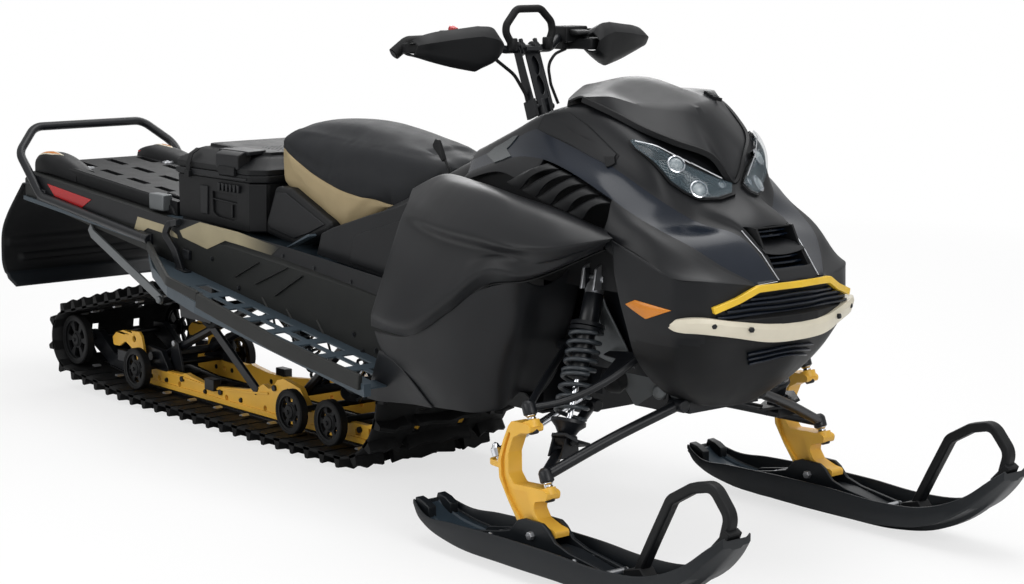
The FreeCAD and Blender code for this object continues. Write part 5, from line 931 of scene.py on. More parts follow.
def makeSkis():
    # the hull is its section eased from heel to tip; deck, saddle, caps and loop stand on it
    grid = eased([skiProfile(*row) for row in skiParts["sections"]], 7)
    floor = grid.shape[1] // 2
    inner = (grid[:, floor - 1] + grid[:, floor]) / 2
    halfWidth = abs(grid[:, floor - 1, 1] - grid[:, floor, 1]) / 2
    across = np.array([-0.97, -0.62, -0.56, -0.50, 0.50, 0.56, 0.62, 0.97])
    lift = np.array([1.5, 1.5, 6, 1.5, 1.5, 6, 1.5, 1.5])
    deck = np.repeat(inner[:, None], len(across), axis=1)
    deck[:, :, 1] += halfWidth[:, None] * across
    deck[:, :, 2] += lift
    deck = deck[3:-4]
    wear = swept([(-300, -470, 5), (-200, -470, 0), (-40, -470, 0.5), (110, -470, 0.5), (260, -470, 3),
                  (330, -470, 12)],
                 [(-5, 0), (5, 0), (5, 7), (-5, 7)])
    saddle = easedCorners(skiParts["saddle"], 14, 3)
    walls = [slab(saddle, -503, -493.5), slab(saddle, -446.5, -437)]
    pads = [slab([(-190, 40), (-120, 86), (-60, 84), (-60, 44)], -492, -448),
            slab([(60, 44), (60, 82), (120, 80), (230, 58), (240, 44)], -492, -448)]
    bolts = [turned([(-44, 0), (-44, 10), (-34, 11), (34, 11), (44, 10), (44, 0)], (0, skiSide, 97), sides=6)]
    for station, height in ((-150, 68), (150, 66), (250, 58)):
        bolts.append(turned([(-39, 0), (-38, 6), (-33, 7), (33, 7), (38, 6), (39, 0)],
                            (station, skiSide, height), sides=12))
    cap = [(-433, 84), (-400, 62), (-372, 56), (-372, 92), (-396, 104), (-424, 110)]
    caps = [slab(cap, -516, -492), slab(cap, -448, -424)]
    band = [(-15, -8), (-11, -12), (11, -12), (15, -8), (15, 8), (11, 12), (-11, 12), (-15, 8)]
    loop = swept(easedCorners(skiParts["loop"], 34, 6), band)
    shoes = [slab([(292, 50), (300, 78), (352, 92), (372, 70), (372, 62)], -490, -450),
             slab([(560, 146), (572, 190), (612, 232), (626, 224), (606, 176)], -490, -450)]
    pair("skiHull", [ringShell(grid)], "skiPlastic", body="front_{}", bevel=1, angle=40, replaces="ski_{}")
    pair("skiDeck", [sheet(deck)], "skiDeck", body="front_{}", wall=2, outward=False)
    pair("skiSaddle", [*walls, *pads, *caps], "skiPlastic", body="front_{}", bevel=2)
    pair("skiBolts", bolts, "bareMetal", body="front_{}", bevel=0.8)
    pair("skiWear", [wear], "bareMetal", body="front_{}")
    pair("skiLoop", [loop, *shoes], "blackPlastic", body="front_{}", bevel=2)


makeSpindles()
makeSkis()
print("skis done")


# Seat: a closed padded form with a beige lower band, on a console of two blocks, and the steering
# post's boot in front of it

postWay = (-0.37137, 0, 0.92849)
seatParts = {
    "sections": [
        # station, half width, low edge, band top, crest, crown
        (-1499, 134, 792, 866, 908, 914), (-1494, 158, 778, 872, 920, 930), (-1480, 178, 768, 874, 926, 938),
        (-1448, 188, 755, 868, 927, 945), (-1390, 190, 731, 846, 921, 949), (-1320, 190, 703, 818, 916, 950),
        (-1240, 190, 676, 794, 910, 947), (-1185, 189, 668, 780, 908, 941), (-1110, 184, 692, 768, 904, 931),
        (-1040, 174, 722, 758, 899, 917), (-975, 160, 748, 752, 892, 903), (-905, 134, 782, 790, 882, 890),
        (-856, 104, 808, 816, 868, 876), (-842, 78, 822, 828, 856, 862),
    ],
    "bandEnd": -990, "bandColumns": [(4, 20), (68, 84)],
    "rearBlock": [(-1514, 628), (-1512, 660), (-1462, 768), (-1392, 768), (-1196, 690), (-1196, 664),
                  (-1280, 636), (-1366, 606)],
    "rearFace": [(-1496, 664), (-1452, 752), (-1404, 754), (-1216, 682), (-1292, 650), (-1366, 628),
                 (-1480, 646)],
    "frontBlock": [(-1224, 600), (-1200, 662), (-1150, 682), (-990, 730), (-858, 766), (-790, 790),
                   (-770, 770), (-770, 552)],
    "frontFace": [(-1062, 596), (-1050, 664), (-1030, 676), (-800, 742), (-800, 580), (-900, 580)],
    "paddle": [(-874, 922), (-862, 938), (-850, 936), (-836, 910), (-824, 884), (-832, 878), (-852, 898),
               (-870, 912)],
}


def seatSection(station, half, low, band, crest, crown):
    # half a section from under the seat to its middle: each point (share of half, height)
    side = [(0.30, low + 3), (0.80, low), (0.94, low + 6), (1.0, low + (band - low) * 0.55), (1.0, band - 4),
            (0.988, band), (1.0, band + 4), (0.985, band + (crest - band) * 0.5), (0.80, crest - 8),
            (0.66, crest + 1), (0.36, crown - 5), (0.0, crown)]
    return wholeWidth([(station, -half * share, height) for share, height in side])


def makeSeat():
    sections = [seatSection(*row) for row in seatParts["sections"]]
    grid = easedNet(sections, 8, 4, sharpColumns=(4, 5, 6, 16, 17, 18))
    seat = piece("seatCushion", [ringShell(grid)], "seatCover", replaces="seat", angle=50)
    row, column = np.divmod(np.arange(len(seat.data.polygons)), grid.shape[1])
    inBand = np.any([(column >= low) & (column < high) for low, high in seatParts["bandColumns"]], axis=0)
    paintFaces(seat, "beigeCover", inBand & (row < np.searchsorted(grid[:, 0, 0], seatParts["bandEnd"])))
    swell(seat, 5.0)


def swell(seat, cap):
    # the cover blown up a little against its own weave, each point moved by the cap at most
    rest = np.array([vertex.co[:] for vertex in seat.data.vertices])
    cloth = seat.modifiers.new("cover", "CLOTH")
    settings = cloth.settings
    settings.effector_weights.gravity = 0
    settings.use_pressure = True
    settings.uniform_pressure_force = 3
    settings.tension_stiffness = 40
    settings.compression_stiffness = 40
    settings.bending_stiffness = 2
    settings.quality = 6
    cloth.point_cache.frame_start, cloth.point_cache.frame_end = 1, 14
    for step in range(1, 15):
        scene.frame_set(step)
    depsgraph = bpy.context.evaluated_depsgraph_get()
    blown = seat.evaluated_get(depsgraph).to_mesh()
    moved = np.array([vertex.co[:] for vertex in blown.vertices]) - rest
    reach = np.linalg.norm(moved, axis=1, keepdims=True)
    moved *= np.minimum(1, cap / 1000 / np.maximum(reach, 1e-9))
    seat.modifiers.remove(cloth)
    seat.data.vertices.foreach_set("co", (rest + moved).reshape(-1))
    seat.data.update()
    scene.frame_set(1)


def makeConsole():
    rear, front = rounded(seatParts["rearBlock"], 16), rounded(seatParts["frontBlock"], 12)
    piece("consoleRear", [slab(rear, -218, 218)], "blackPlastic", bevel=14, segments=4,
          replaces="seat_console")
    piece("consoleFront", [slab(front, -244, 244)], "panelPlastic", bevel=5, segments=3)
    faces = [slab(seatParts["rearFace"], -222, -214), slab(seatParts["frontFace"], -248, -240)]
    piece("consoleFaces", both(faces), "panelPlastic", bevel=3, segments=3)
    stay = [slab([(-1352, 606), (-1344, 606), (-1236, 650), (-1240, 656)], -262, -232)]
    piece("consoleStays", both(stay), "boardSheet", bevel=1)
    stalk = tube([(-806, -100, 838), (-812, -100, 862), (-838, -100, 896)], 4, 20)
    piece("paddleLever", [slab(seatParts["paddle"], -108, -96), stalk], "blackPlastic", bevel=2.5)


def makeCowl():
    # an arch under the hood's rear rim that runs back and down below the seat's front, and the post's boot
    rows = []
    for station, top, shoulder, side, half in (
            (-530, 950, 918, 850, 234), (-610, 928, 893, 838, 240), (-690, 892, 860, 806, 242),
            (-780, 846, 822, 782, 242), (-870, 800, 782, 752, 240), (-950, 762, 752, 730, 236)):
        rows.append(wholeWidth([(station, -half, 585), (station, -half, side - 60),
                                (station, -half + 2, side), (station, -half * 0.78, shoulder),
                                (station, -half * 0.4, top - 6), (station, 0, top)]))
    grid = easedNet(rows, 6, 5, sharpColumns=(2, 8))
    piece("rearCowl", [sheet(grid)], "blackPlastic", wall=4, outward=False)
    boot = turned([(-96, 52), (-78, 50), (-74, 42), (-62, 46), (-56, 36), (-44, 40), (-38, 30), (-26, 33),
                   (-20, 24)],
                  (-550, 0, 1030), postWay, sides=32)
    piece("postBoot", [boot], "trackRubber", angle=60)


makeSeat()
makeConsole()
makeCowl()
print("seat done")


# Cargo box with its recess and ribs, and the hinged lid with its clasp

boxParts = {
    "plan": [(-1935, -245), (-1553, -245), (-1513, -206), (-1513, 206), (-1553, 245), (-1935, 245)],
    "recess": [(-1748, 733), (-1616, 729), (-1616, 660), (-1642, 654), (-1720, 660), (-1746, 670)],
    # rings of the box, the lid and its ridge: how far past the plan, height, fall towards the front
    "shellRings": [(-8, 628), (-8, 768), (0, 772), (2, 778), (2, 790), (0, 792), (-9, 792), (-12, 789),
                   (-14, 660)],
    "lidRings": [(-14, 793), (0, 793), (1, 800), (2, 812, 4), (-6, 820, 8), (-26, 832, 12), (-44, 846, 14),
                 (-60, 852, 15), (-90, 856, 14), (-150, 860, 12)],
    "ridgeRings": [(-70, 850, 16), (-72, 861, 14), (-80, 863, 14), (-96, 860, 13)],
}


def frontShare(station):
    # nothing at the lid's middle, one at its front edge
    return np.clip((station + 1800) / 290, 0, 1)


def boxRing(past, height, fall=0.0):
    # the box's plan drawn out or in about its middle, at a height that falls towards the front
    middle = np.array([-1724, 0])
    halves = np.abs(np.array(boxParts["plan"]) - middle).max(axis=0)
    flat = middle + (rounded(boxParts["plan"], 26, 4) - middle) * (1 + past / halves)
    return np.column_stack([flat, height - fall * frontShare(flat[:, 0])])


def boxShell(name):
    return ringShell([boxRing(*row) for row in boxParts[name]])


def makeBox():
    side = slab([(-1930, 644), (-1934, 770), (-1554, 770), (-1554, 628)], -245, -236,
                holes=[boxParts["recess"]])
    front = flatPlate([(-1556, -243, 768), (-1516, -206, 768), (-1518, -206, 632), (-1556, -243, 632)], 9)
    surround = [slab([(-1804, 746), (-1766, 745), (-1770, 662), (-1806, 662)], -250, -244)]
    ribs = [slab([(x - 7, 762), (x + 7, 760), (x + 4, 738), (x - 4, 739)], -254, -244)
            for x in range(-1700, -1590, 20)]
    steps = [slab([(-1748, 712), (-1616, 706), (-1616, 702), (-1748, 708)], -244, -238),
             slab([(-1650, 700), (-1644, 700), (-1644, 662), (-1650, 662)], -244, -238)]
    rim = [slab([(-1938, 776), (-1938, 792), (-1700, 792), (-1700, 783), (-1560, 783), (-1560, 776)],
                -251, -246)]
    piece("cargoShell", [boxShell("shellRings")], "blackPlastic", angle=30, bevel=1.5, replaces="cargo_box")
    piece("cargoSides", both([side, front]), "blackPlastic", bevel=2)
    piece("cargoTrim", both(surround + ribs + steps + rim), "panelPlastic", bevel=1.5)


def makeLid():
    dots = []
    for station in range(-1700, -1540, 16):
        for side in range(-96, 100, 16):
            seat = (station, side, 859 - 13 * frontShare(station))
            dots.append(turned([(0, 3.4), (1.8, 2.6)], seat, (0, 0, 1), sides=8))
    clasp = slab([(-252, 846), (-230, 856), (-206, 852), (-206, 822), (-238, 804), (-252, 806)], -1716, -1598,
                 axis=0)
    tongue = slab([(-256, 812), (-246, 812), (-246, 784), (-256, 788)], -1700, -1614, axis=0)
    shelf = slab([(-1740, -226), (-1580, -226), (-1604, -150), (-1720, -150)], 846, 858, axis=2)
    strap = swept([(-1868, -214, 848), (-1866, -240, 834), (-1862, -254, 806), (-1862, -256, 772)],
                  plank(9, 2))
    hook = slab([(-1876, 786), (-1848, 786), (-1850, 766), (-1874, 766)], -262, -250)
    knuckles = [turned([(y, 5), (y + 70, 5)], (-1940, 0, 792.2), sides=14) for y in (-190, -35, 120)]
    piece("lidShell", [boxShell("lidRings")], "blackPlastic", body="lid", angle=40, bevel=1,
          replaces="cargo_box_lid")
    piece("lidRidge", [boxShell("ridgeRings")], "blackPlastic", body="lid", angle=40)
    piece("lidDots", dots, "blackPlastic", body="lid")
    piece("lidClasps", both([clasp, shelf]), "panelPlastic", body="lid", bevel=3, segments=3)
    piece("lidTongues", both([tongue, strap, hook]), "blackPlastic", body="lid", bevel=1)
    piece("lidKnuckles", knuckles, "blackMetal", body="lid")


makeBox()
makeLid()
print("cargo box done")


# Tunnel: dark upper band, stripe and reflector, stamped ribs, bolts, stays; then deck, bar and flap

tunnelParts = {
    "band": [(-2790, 704), (-1972, 640), (-1763, 644), (-1250, 610), (-842, 577), (-842, 524), (-1108, 556),
             (-1340, 580), (-1395, 586), (-1640, 600), (-1970, 588), (-2380, 612), (-2640, 632),
             (-2790, 648)],
    "stripe": [(-1872, 606), (-1760, 642), (-1560, 633), (-1560, 597), (-1625, 601), (-1723, 566),
               (-1855, 587)],
    "stripeFade": [(-1560, 633), (-1345, 610), (-1388, 584), (-1560, 597)],
    "stripeRear": [(-2113, 625), (-1947, 613), (-1890, 592), (-1886, 581), (-1967, 589), (-2055, 596),
                   (-2085, 582), (-2134, 586)],
    "reflector": [(-2675, 679), (-2394, 652), (-2454, 621), (-2628, 642)],
    "ribs": [[(-1575, 500), (-1452, 556)], [(-1470, 492), (-1310, 556)], [(-1372, 470), (-1236, 542)]],
    "dents": [[(-1440, 458), (-1384, 402), (-1372, 372)], [(-1318, 440), (-1262, 384), (-1250, 352)],
              [(-1172, 428), (-1120, 372), (-1106, 342)]],
    "bolts": [(-1330, 588), (-1180, 570), (-1008, 552), (-1700, 540), (-1560, 470), (-1000, 410), (-960, 370),
              (-900, 380), (-2100, 560), (-2300, 580), (-2700, 640)],
    "bar": [(-2040, -293, 564), (-2700, -293, 636), (-2840, -293, 768), (-2896, -205, 845)],
    "flapLine": [(-2837, 664), (-2896, 587), (-2964, 488), (-2970, 430), (-2968, 389), (-2940, 345),
                 (-2916, 312)],
}


def stripeFadeMaterial():
    # the stripe's beige gone over to the sheet's colour along the length of the machine
    fade = materials["stripeBeige"].copy()
    fade.name = "stripeFade"
    nodes, links = fade.node_tree.nodes, fade.node_tree.links
    shader = nodes["Principled BSDF"]
    beige = shader.inputs["Base Color"].links[0].from_socket
    coords = nodes.new("ShaderNodeTexCoord")
    split = nodes.new("ShaderNodeSeparateXYZ")
    share = nodes.new("ShaderNodeMapRange")
    blend = nodes.new("ShaderNodeMix")
    blend.data_type = "RGBA"
    share.inputs["From Min"].default_value = place((-1560, 0, 0))[0]
    share.inputs["From Max"].default_value = place((-1360, 0, 0))[0]
    links.new(coords.outputs["Object"], split.inputs["Vector"])
    links.new(split.outputs["X"], share.inputs["Value"])
    links.new(share.outputs["Result"], blend.inputs["Factor"])
    links.new(beige, blend.inputs["A"])
    blend.inputs["B"].default_value = (*finishes["darkSheet"][0], 1)
    links.new(blend.outputs["Result"], shader.inputs["Base Color"])
    return fade


def deckHeight(station):
    # the tunnel's top rises straight from its front end to its rear end
    return 526 + 180 * (-640 - station) / 2190


def makeTunnelTrim():
    band = slab(tunnelParts["band"], -282, -279.5)
    piece("tunnelBand", both([band]), "panelPlastic", bevel=0.6)
    stripes = [slab(tunnelParts[name], -282.8, -281) for name in ("stripe", "stripeRear")]
    piece("tunnelStripes", both(stripes), "stripeBeige")
    fade = piece("tunnelFade", both([slab(tunnelParts["stripeFade"], -282.8, -281)]), "stripeBeige")
    fade.data.materials[0] = stripeFadeMaterial()
    piece("tunnelReflectors", both([slab(tunnelParts["reflector"], -284, -281)]), "redLens", bevel=0.8)
    raised = []
    for name, profile in (("ribs", [(-7, -1), (0, 2.6), (7, -1)]), ("dents", [(-4, -1), (0, 2), (4, -1)])):
        raised += [swept([(x, -280.5, z) for x, z in line], profile) for line in tunnelParts[name]]
    piece("tunnelRibs", both(raised), "darkSheet", angle=70)
    heads = [turned([(0, 8), (2.5, 8), (3, 5.5), (6, 5)], (x, -280, z), (0, -1, 0), sides=6)
             for x, z in tunnelParts["bolts"]]
    piece("tunnelBolts", both(heads), "blackMetal")
    top = [[(x, side, deckHeight(x) + 2.2) for side in (-256, 0, 256)] for x in (-1985, -1120, -842)]
    piece("tunnelTopSheet", [sheet(np.array(top))], "boardSheet", wall=1.6, outward=False)
    lipBar = swept([(-2826, -286, 622), (-2440, -286, 590), (-2060, -286, 556)], plank(5, 7))
    piece("tunnelLips", both([lipBar]), "boardSheet", bevel=1.5)


def makeStays():
    # the toe bracket with its hook, the flat grey stay and the tube from the board's edge
    toe = swept(easedCorners([(-1886, -288, 628), (-1908, -298, 622), (-1926, -300, 592), (-1872, -300, 545),
                              (-1832, -302, 484)], 14, 4), plank(7, 10))
    pads = [slab([(-1862, 498), (-1800, 494), (-1806, 462), (-1856, 470)], -312, -288),
            slab([(-1846, 556), (-1812, 552), (-1812, 524), (-1842, 528)], -292, -280),
            slab([(-1918, 632), (-1868, 640), (-1864, 622), (-1912, 612)], -300, -281)]
    grey = swept([(-2400, -286, 566), (-2380, -288, 546), (-2020, -288, 404), (-1972, -288, 384)],
                 plank(4, 15))
    edge = swept(easedCorners([(-1480, -470, 474), (-1640, -470, 500), (-1812, -400, 530),
                               (-2034, -294, 545)], 60, 5),
                 plank(6, 14))
    rail = [(-712, 352), (-1095, 398), (-1480, 470)]
    edgeBar = swept([(x, -470, z) for x, z in rail], [(-7, -27), (7, -27), (7, 14), (-7, 14)])
    knob = turned([(0, 12), (10, 12), (14, 8)], (-1976, -290, 386), (0, -1, 0), sides=16)
    piece("toeBrackets", both([toe, *pads]), "blackMetal", bevel=2)
    piece("greyStays", both([grey, knob]), "castMetal", bevel=1.5)
    piece("edgeBars", both([edge, edgeBar]), "darkSheet", bevel=3, segments=3)


def makeDeck():
    rails = [slab([(-2796, deckHeight(-2796) + 44), (-2040, deckHeight(-2040) + 44),
                   (-1980, deckHeight(-1980) + 24), (-1966, deckHeight(-1966) + 2),
                   (-2796, deckHeight(-2796) + 2)], -240, -216)]
    hump = easedNet([
        [(-2828, -244, 706), (-2828, -240, 742), (-2828, -226, 758), (-2828, -186, 762), (-2828, -150, 752),
         (-2828, -140, 712)],
        [(-2800, -246, 706), (-2800, -242, 746), (-2800, -228, 764), (-2800, -186, 768), (-2800, -148, 758),
         (-2800, -138, 712)],
        [(-2730, -246, 706), (-2730, -242, 744), (-2730, -230, 761), (-2730, -190, 766), (-2730, -152, 754),
         (-2730, -142, 712)],
        [(-2650, -244, 700), (-2650, -241, 736), (-2650, -232, 750), (-2650, -200, 752), (-2650, -164, 742),
         (-2650, -154, 706)],
        [(-2560, -242, 690), (-2560, -240, 712), (-2560, -232, 724), (-2560, -206, 726), (-2560, -176, 720),
         (-2560, -168, 690)],
    ], 6, 4)
    strip = laidPlate(hump, [(-2822, -232, 760), (-2742, -226, 764), (-2700, -206, 766), (-2760, -196, 767),
                             (-2822, -204, 762)], 1.5, 3, rings=3)
    mark = laidPlate(hump, [(-2812, -226, 762), (-2750, -222, 765), (-2716, -210, 766), (-2768, -206, 767)],
                     2.2, 3, rings=3)
    anchors = [turned([(0, 20), (5, 19), (6, 12), (4, 11)], (x, side, deckHeight(x) + 32), (0, 0, 1))
               for x, side in ((-2640, -150), (-2120, -172))]
    tray = [slab([(-2130, deckHeight(-2130) + 34), (-1968, deckHeight(-1968) + 34),
                  (-1966, deckHeight(-1966) + 40), (-2124, deckHeight(-2124) + 44)], -170, 170)]
    blocks = [crate((-2080, -2000), (-262, -226), (deckHeight(-2040) + 8, deckHeight(-2040) + 58))]
    piece("deckRails", both(rails), "blackPlastic", bevel=5, segments=3)
    piece("deckHumps", both([ringShell(hump)]), "blackPlastic", angle=50)
    piece("humpStrips", both([strip]), "creamPlastic")
    piece("humpMarks", both([mark]), "orangeLens")
    piece("deckAnchors", both(anchors), "bareMetal")
    piece("deckTray", tray, "blackPlastic", bevel=6, segments=3)
    piece("deckBlocks", both(blocks), "castMetal", bevel=4)


def makeGrabBar():
    right = [np.array(point, float) for point in tunnelParts["bar"]]
    whole = right + [point * (1, -1, 1) for point in reversed(right)]
    feet = [turned([(0, 15.5), (24, 15.5), (28, 12)], right[0] + (8, 0, 0), right[1] - right[0]),
            slab([(-2096, 586), (-2030, 580), (-2030, 546), (-2096, 554)], -290, -279)]
    clamps = [slab([(-2742, 664), (-2684, 656), (-2680, 618), (-2736, 620)], -290, -279)]
    piece("grabBarTube", [swept(easedCorners(whole, 68, 9), circle(14, 24))], "blackMetal",
          replaces="grab_bar")
    piece("grabBarFeet", both(feet + clamps), "blackMetal", bevel=2)


def step(value, low, high):
    return np.clip((value - low) / (high - low), 0, 1)


def makeFlap():
    # a bowed sheet with two raised ribs and a lower lip: relief is a smooth step of the share
    # down the line inside each rib's side limits
    line = eased(tunnelParts["flapLine"], 7)
    share = np.linspace(0, 1, len(line))
    sides = np.linspace(-300, 300, 61)
    relief = np.zeros((len(line), len(sides)))
    for start, end, limit, height in ((0.38, 0.46, 286, 9), (0.56, 0.66, 236, 9), (0.78, 1.2, 320, 7)):
        down = step(share, start - 0.015, start + 0.015) * (1 - step(share, end - 0.015, end + 0.015))
        across = 1 - step(np.abs(sides), limit - 8, limit + 2)
        relief = np.maximum(relief, down[:, None] * across[None] * height)
    slopes = np.gradient(line, axis=0)
    normal = np.column_stack([-slopes[:, 1], slopes[:, 0]])
    normal = normal / np.linalg.norm(normal, axis=1, keepdims=True)
    drawn = 1 - 0.06 * step(share, 0.86, 1.0) - 0.05 * (1 - step(share, 0.0, 0.2))
    grid = np.zeros((len(line), len(sides), 3))
    grid[:, :, 0] = line[:, None, 0] + normal[:, None, 0] * relief
    grid[:, :, 1] = drawn[:, None] * sides
    grid[:, :, 2] = line[:, None, 1] + normal[:, None, 1] * relief
    flap = piece("flapSheet", [sheet(grid)], "blackPlastic", wall=6, outward=False, angle=40,
                 replaces="snow_flap")
    paintFaces(flap, "skiPlastic", np.repeat(share[:-1] > 0.78, len(sides) - 1))
    # a strip bolted over the flap's top at the deck's end
    strip = slab([(-2776, 676), (-2842, 669), (-2842, 663), (-2776, 670)], -284, 284)
    piece("flapStrip", [strip], "blackMetal", bevel=1.2)
    heads = [turned([(0, 7), (3, 7), (4.5, 5), (4.5, 0)], (-2822, side, 671), (-0.1, 0, 1), sides=6)
             for side in (-225, -110, 0, 110, 225)]
    piece("flapBolts", heads, "blackMetal", bevel=0.5)


makeTunnelTrim()
makeStays()
makeDeck()
makeGrabBar()
makeFlap()
print("rear done")


# Track, wheels, rails and rear shocks

trackParts = {
    "rounds": [(-2660, 160, 83), (-2285, 117, 67), (-1150, 230, 180), (-1030, 402, 92), (-1840, 372, 67)],
    "thick": 8, "lug": 42, "pitch": 74,
    "bands": [(-239, -143), (-109, 109), (143, 239)],
    "windows": [(-92, -66), (66, 92)],
    "wheels": [(-2660, 160, 83), (-2285, 117, 67), (-1425, 117, 67), (-1232, 117, 67)],
    "wheelSides": (-196, 196),
    "heel": [(-2694, 182), (-2694, 142), (-2604, 102), (-2564, 80), (-2422, 66), (-2422, 112), (-2430, 113),
             (-2540, 124), (-2630, 186)],
    "tower": [(-2384, 108), (-2330, 178), (-2246, 172), (-2196, 108)],
    "railTop": [(-1014, 188), (-1036, 176), (-1090, 132), (-1150, 112), (-1262, 112), (-1430, 112),
                (-1476, 168), (-1514, 176), (-1560, 184), (-1594, 176), (-1618, 148), (-1640, 142),
                (-1668, 152), (-1700, 136), (-1760, 122), (-1930, 104), (-2010, 106), (-2086, 116),
                (-2106, 120), (-2126, 113), (-2200, 112), (-2420, 112)],
    "railHoles": [(-2310, 82), (-2262, 82), (-2216, 82), (-2140, 80), (-1990, 80), (-1870, 80), (-1790, 84),
                  (-1660, 80), (-1580, 84), (-1508, 84), (-1540, 150)],
    "railWindows": [(-1336, 84), (-1192, 86), (-1128, 96)],
    "bracket": [(-2518, 183), (-2495, 201), (-2451, 213), (-2352, 220), (-2336, 207), (-2318, 140),
                (-2300, 112), (-2396, 112), (-2400, 162), (-2438, 178), (-2475, 158), (-2515, 156)],
}


def beltPath(offset, count):
    # equal steps round the belt: an arc on each wheel circle between two outer tangents
    rounds = [(x, z, radius + offset) for x, z, radius in trackParts["rounds"]]
    headings = []
    for (x0, z0, r0), (x1, z1, r1) in zip(rounds, rounds[1:] + rounds[:1]):
        apart = math.hypot(x1 - x0, z1 - z0)
        headings.append(math.atan2(z1 - z0, x1 - x0) - math.pi / 2 + math.asin((r0 - r1) / apart))
    points = []
    for index, (x, z, radius) in enumerate(rounds):
        turn = (headings[index] - headings[index - 1]) % (2 * math.pi)
        angle = headings[index - 1] + turn * np.linspace(0, 1, 24)
        points.append(np.column_stack([x + radius * np.cos(angle), z + radius * np.sin(angle)]))
    points = np.concatenate(points)
    points = np.vstack([points, points[:1]])
    along = np.concatenate([[0], np.cumsum(np.linalg.norm(np.diff(points, axis=0), axis=1))])
    steps = np.linspace(0, along[-1], count, endpoint=False)
    line = np.column_stack([np.interp(steps, along, points[:, axis]) for axis in (0, 1)])
    way = np.roll(line, -1, axis=0) - np.roll(line, 1, axis=0)
    way = way / np.linalg.norm(way, axis=1, keepdims=True)
    return line, way, np.column_stack([way[:, 1], -way[:, 0]]), along[-1]


def makeTrack():
    length = beltPath(trackParts["thick"], 400)[3]
    pitches, perPitch = round(length / trackParts["pitch"]), 8
    line, way, outward, _ = beltPath(trackParts["thick"], pitches * perPitch)
    windows = trackParts["windows"]
    sides = sorted({-239, -190, -143, -126, -109, -30, 0, 30, 109, 126, 143, 190, 239,
                    *np.ravel(windows).tolist()})
    grid = np.zeros((len(line), len(sides), 3))
    grid[:, :, 0], grid[:, :, 1], grid[:, :, 2] = line[:, :1], sides, line[:, 1:]
    faces = []
    for index, face in enumerate(gridFaces(*grid.shape[:2], closedRows=True)):
        row, column = divmod(index, len(sides) - 1)
        if not (2 <= row % perPitch <= 4 and (sides[column], sides[column + 1]) in windows):
            faces.append(face)
    piece("trackBelt", [(grid.reshape(-1, 3), faces)], "trackRubber", wall=8, outward=False, angle=50,
          replaces="track")
    # lugs: a profile of (shift along the belt, share of the height), higher at its ends and middle,
    # bowed to and fro by turns, and lower at the belt's edges
    share = np.linspace(0, 1, 9)[:, None]
    shift, rise = np.array([(-17, -2), (-12, 0.4), (-8, 0.9), (-5, 1), (5, 1), (8, 0.9), (12, 0.4),
                            (17, -2)]).T
    lugs = []
    for number in range(pitches):
        base, along, out = (values[number * perPitch] for values in (line, way, outward))
        for low, high in trackParts["bands"]:
            side = low + (high - low) * share
            tall = trackParts["lug"] - 9 * (0.5 - 0.5 * np.cos(4 * math.pi * share))
            tall = tall - 9 * np.maximum(0, (abs(side) - 215) / 24)
            bow = 8 * np.sin(math.pi * share) * (-1 if number % 2 else 1)
            lift = np.where(rise < 0, rise, tall * rise)
            flat = base + along * (shift + bow)[..., None] + out * lift[..., None]
            lugs.append(ringShell(np.stack([flat[..., 0], side + 0 * lift, flat[..., 1]], axis=-1)))
    piece("trackLugs", lugs, "trackRubber", angle=40)
    clips = []
    inner = beltPath(-0.5, pitches * perPitch)
    for number in range(0, pitches, 2):
        base, along, out = (values[number * perPitch] for values in inner[:3])
        for side in (-160, 160):
            corners = [base + along * shift - out * rise
                       for shift, rise in ((-9, 0), (9, 0), (6, 5), (-6, 5))]
            clips.append(slab(corners, side - 12, side + 12))
    piece("trackClips", clips, "bareMetal")


def spokeHole(inner, outer, middle, half=0.33, steps=4):
    # a window between two spokes, from its inner arc back along its outer arc
    angles = np.linspace(middle - half, middle + half, steps)
    way = np.column_stack([np.cos(angles), np.sin(angles)])
    return np.concatenate([inner * way, outer * way[::-1]])


def makeWheel(station, height, radius, side):
    # rubber tyre, rim, six paired spokes cut from a disc, and a stepped hub
    centre = np.array([station, side, height], float)
    tyre = turned([(-13, radius - 12), (-14, radius - 4), (-11, radius - 0.9), (11, radius - 0.9),
                   (14, radius - 4), (13, radius - 12), (-13, radius - 12)], centre, sides=40)
    rim = turned([(-12, radius - 20), (-12, radius - 11), (12, radius - 11), (12, radius - 20),
                  (-12, radius - 20)],
                 centre, sides=40)
    # both profiles are closed already, so the two end faces come off
    tyre, rim = (tyre[0], tyre[1][:-2]), (rim[0], rim[1][:-2])
    disc = circle(radius - 18, 36, (station, height))
    holes = [spokeHole(28, radius - 23, math.radians(60 * number + 30)) + (station, height)
             for number in range(6)]
    web = slab(disc, side - 5, side + 5, holes=holes)
    out = -1 if side < 0 else 1
    hub = turned([(-14, 20), (-12, 24), (6, 24), (9, 20), (12, 20), (14, 16), (14, 7), (19, 6)], centre,
                 (0, out, 0), sides=24)
    return [tyre], [rim, web, hub]


def makeWheels():
    tyres, discs, axles = [], [], []
    for station, height, radius in trackParts["wheels"]:
        for side in trackParts["wheelSides"]:
            tyre, disc = makeWheel(station, height, radius, side)
            tyres += tyre
            discs += disc
        axles.append(swept([(station, -208, height), (station, 208, height)], circle(10)))
    for side in trackParts["wheelSides"]:
        centre = (-1840, side, 372)
        out = -1 if side < 0 else 1
        tyres.append(turned([(-13, 54), (-14, 63), (-11, 66.1), (11, 66.1), (14, 63), (13, 54), (10, 53),
                             (9, 44), (5, 40), (5, 26), (12, 24), (14, 12)], centre, (0, out, 0), sides=40))
    axles.append(swept([(-1840, -266, 372), (-1840, 266, 372)], circle(10)))
    piece("wheelTyres", tyres, "trackRubber", angle=40, replaces="idler_wheels")
    piece("wheelDiscs", discs, "blackPlastic", bevel=1)
    piece("wheelAxles", axles, "blackMetal")


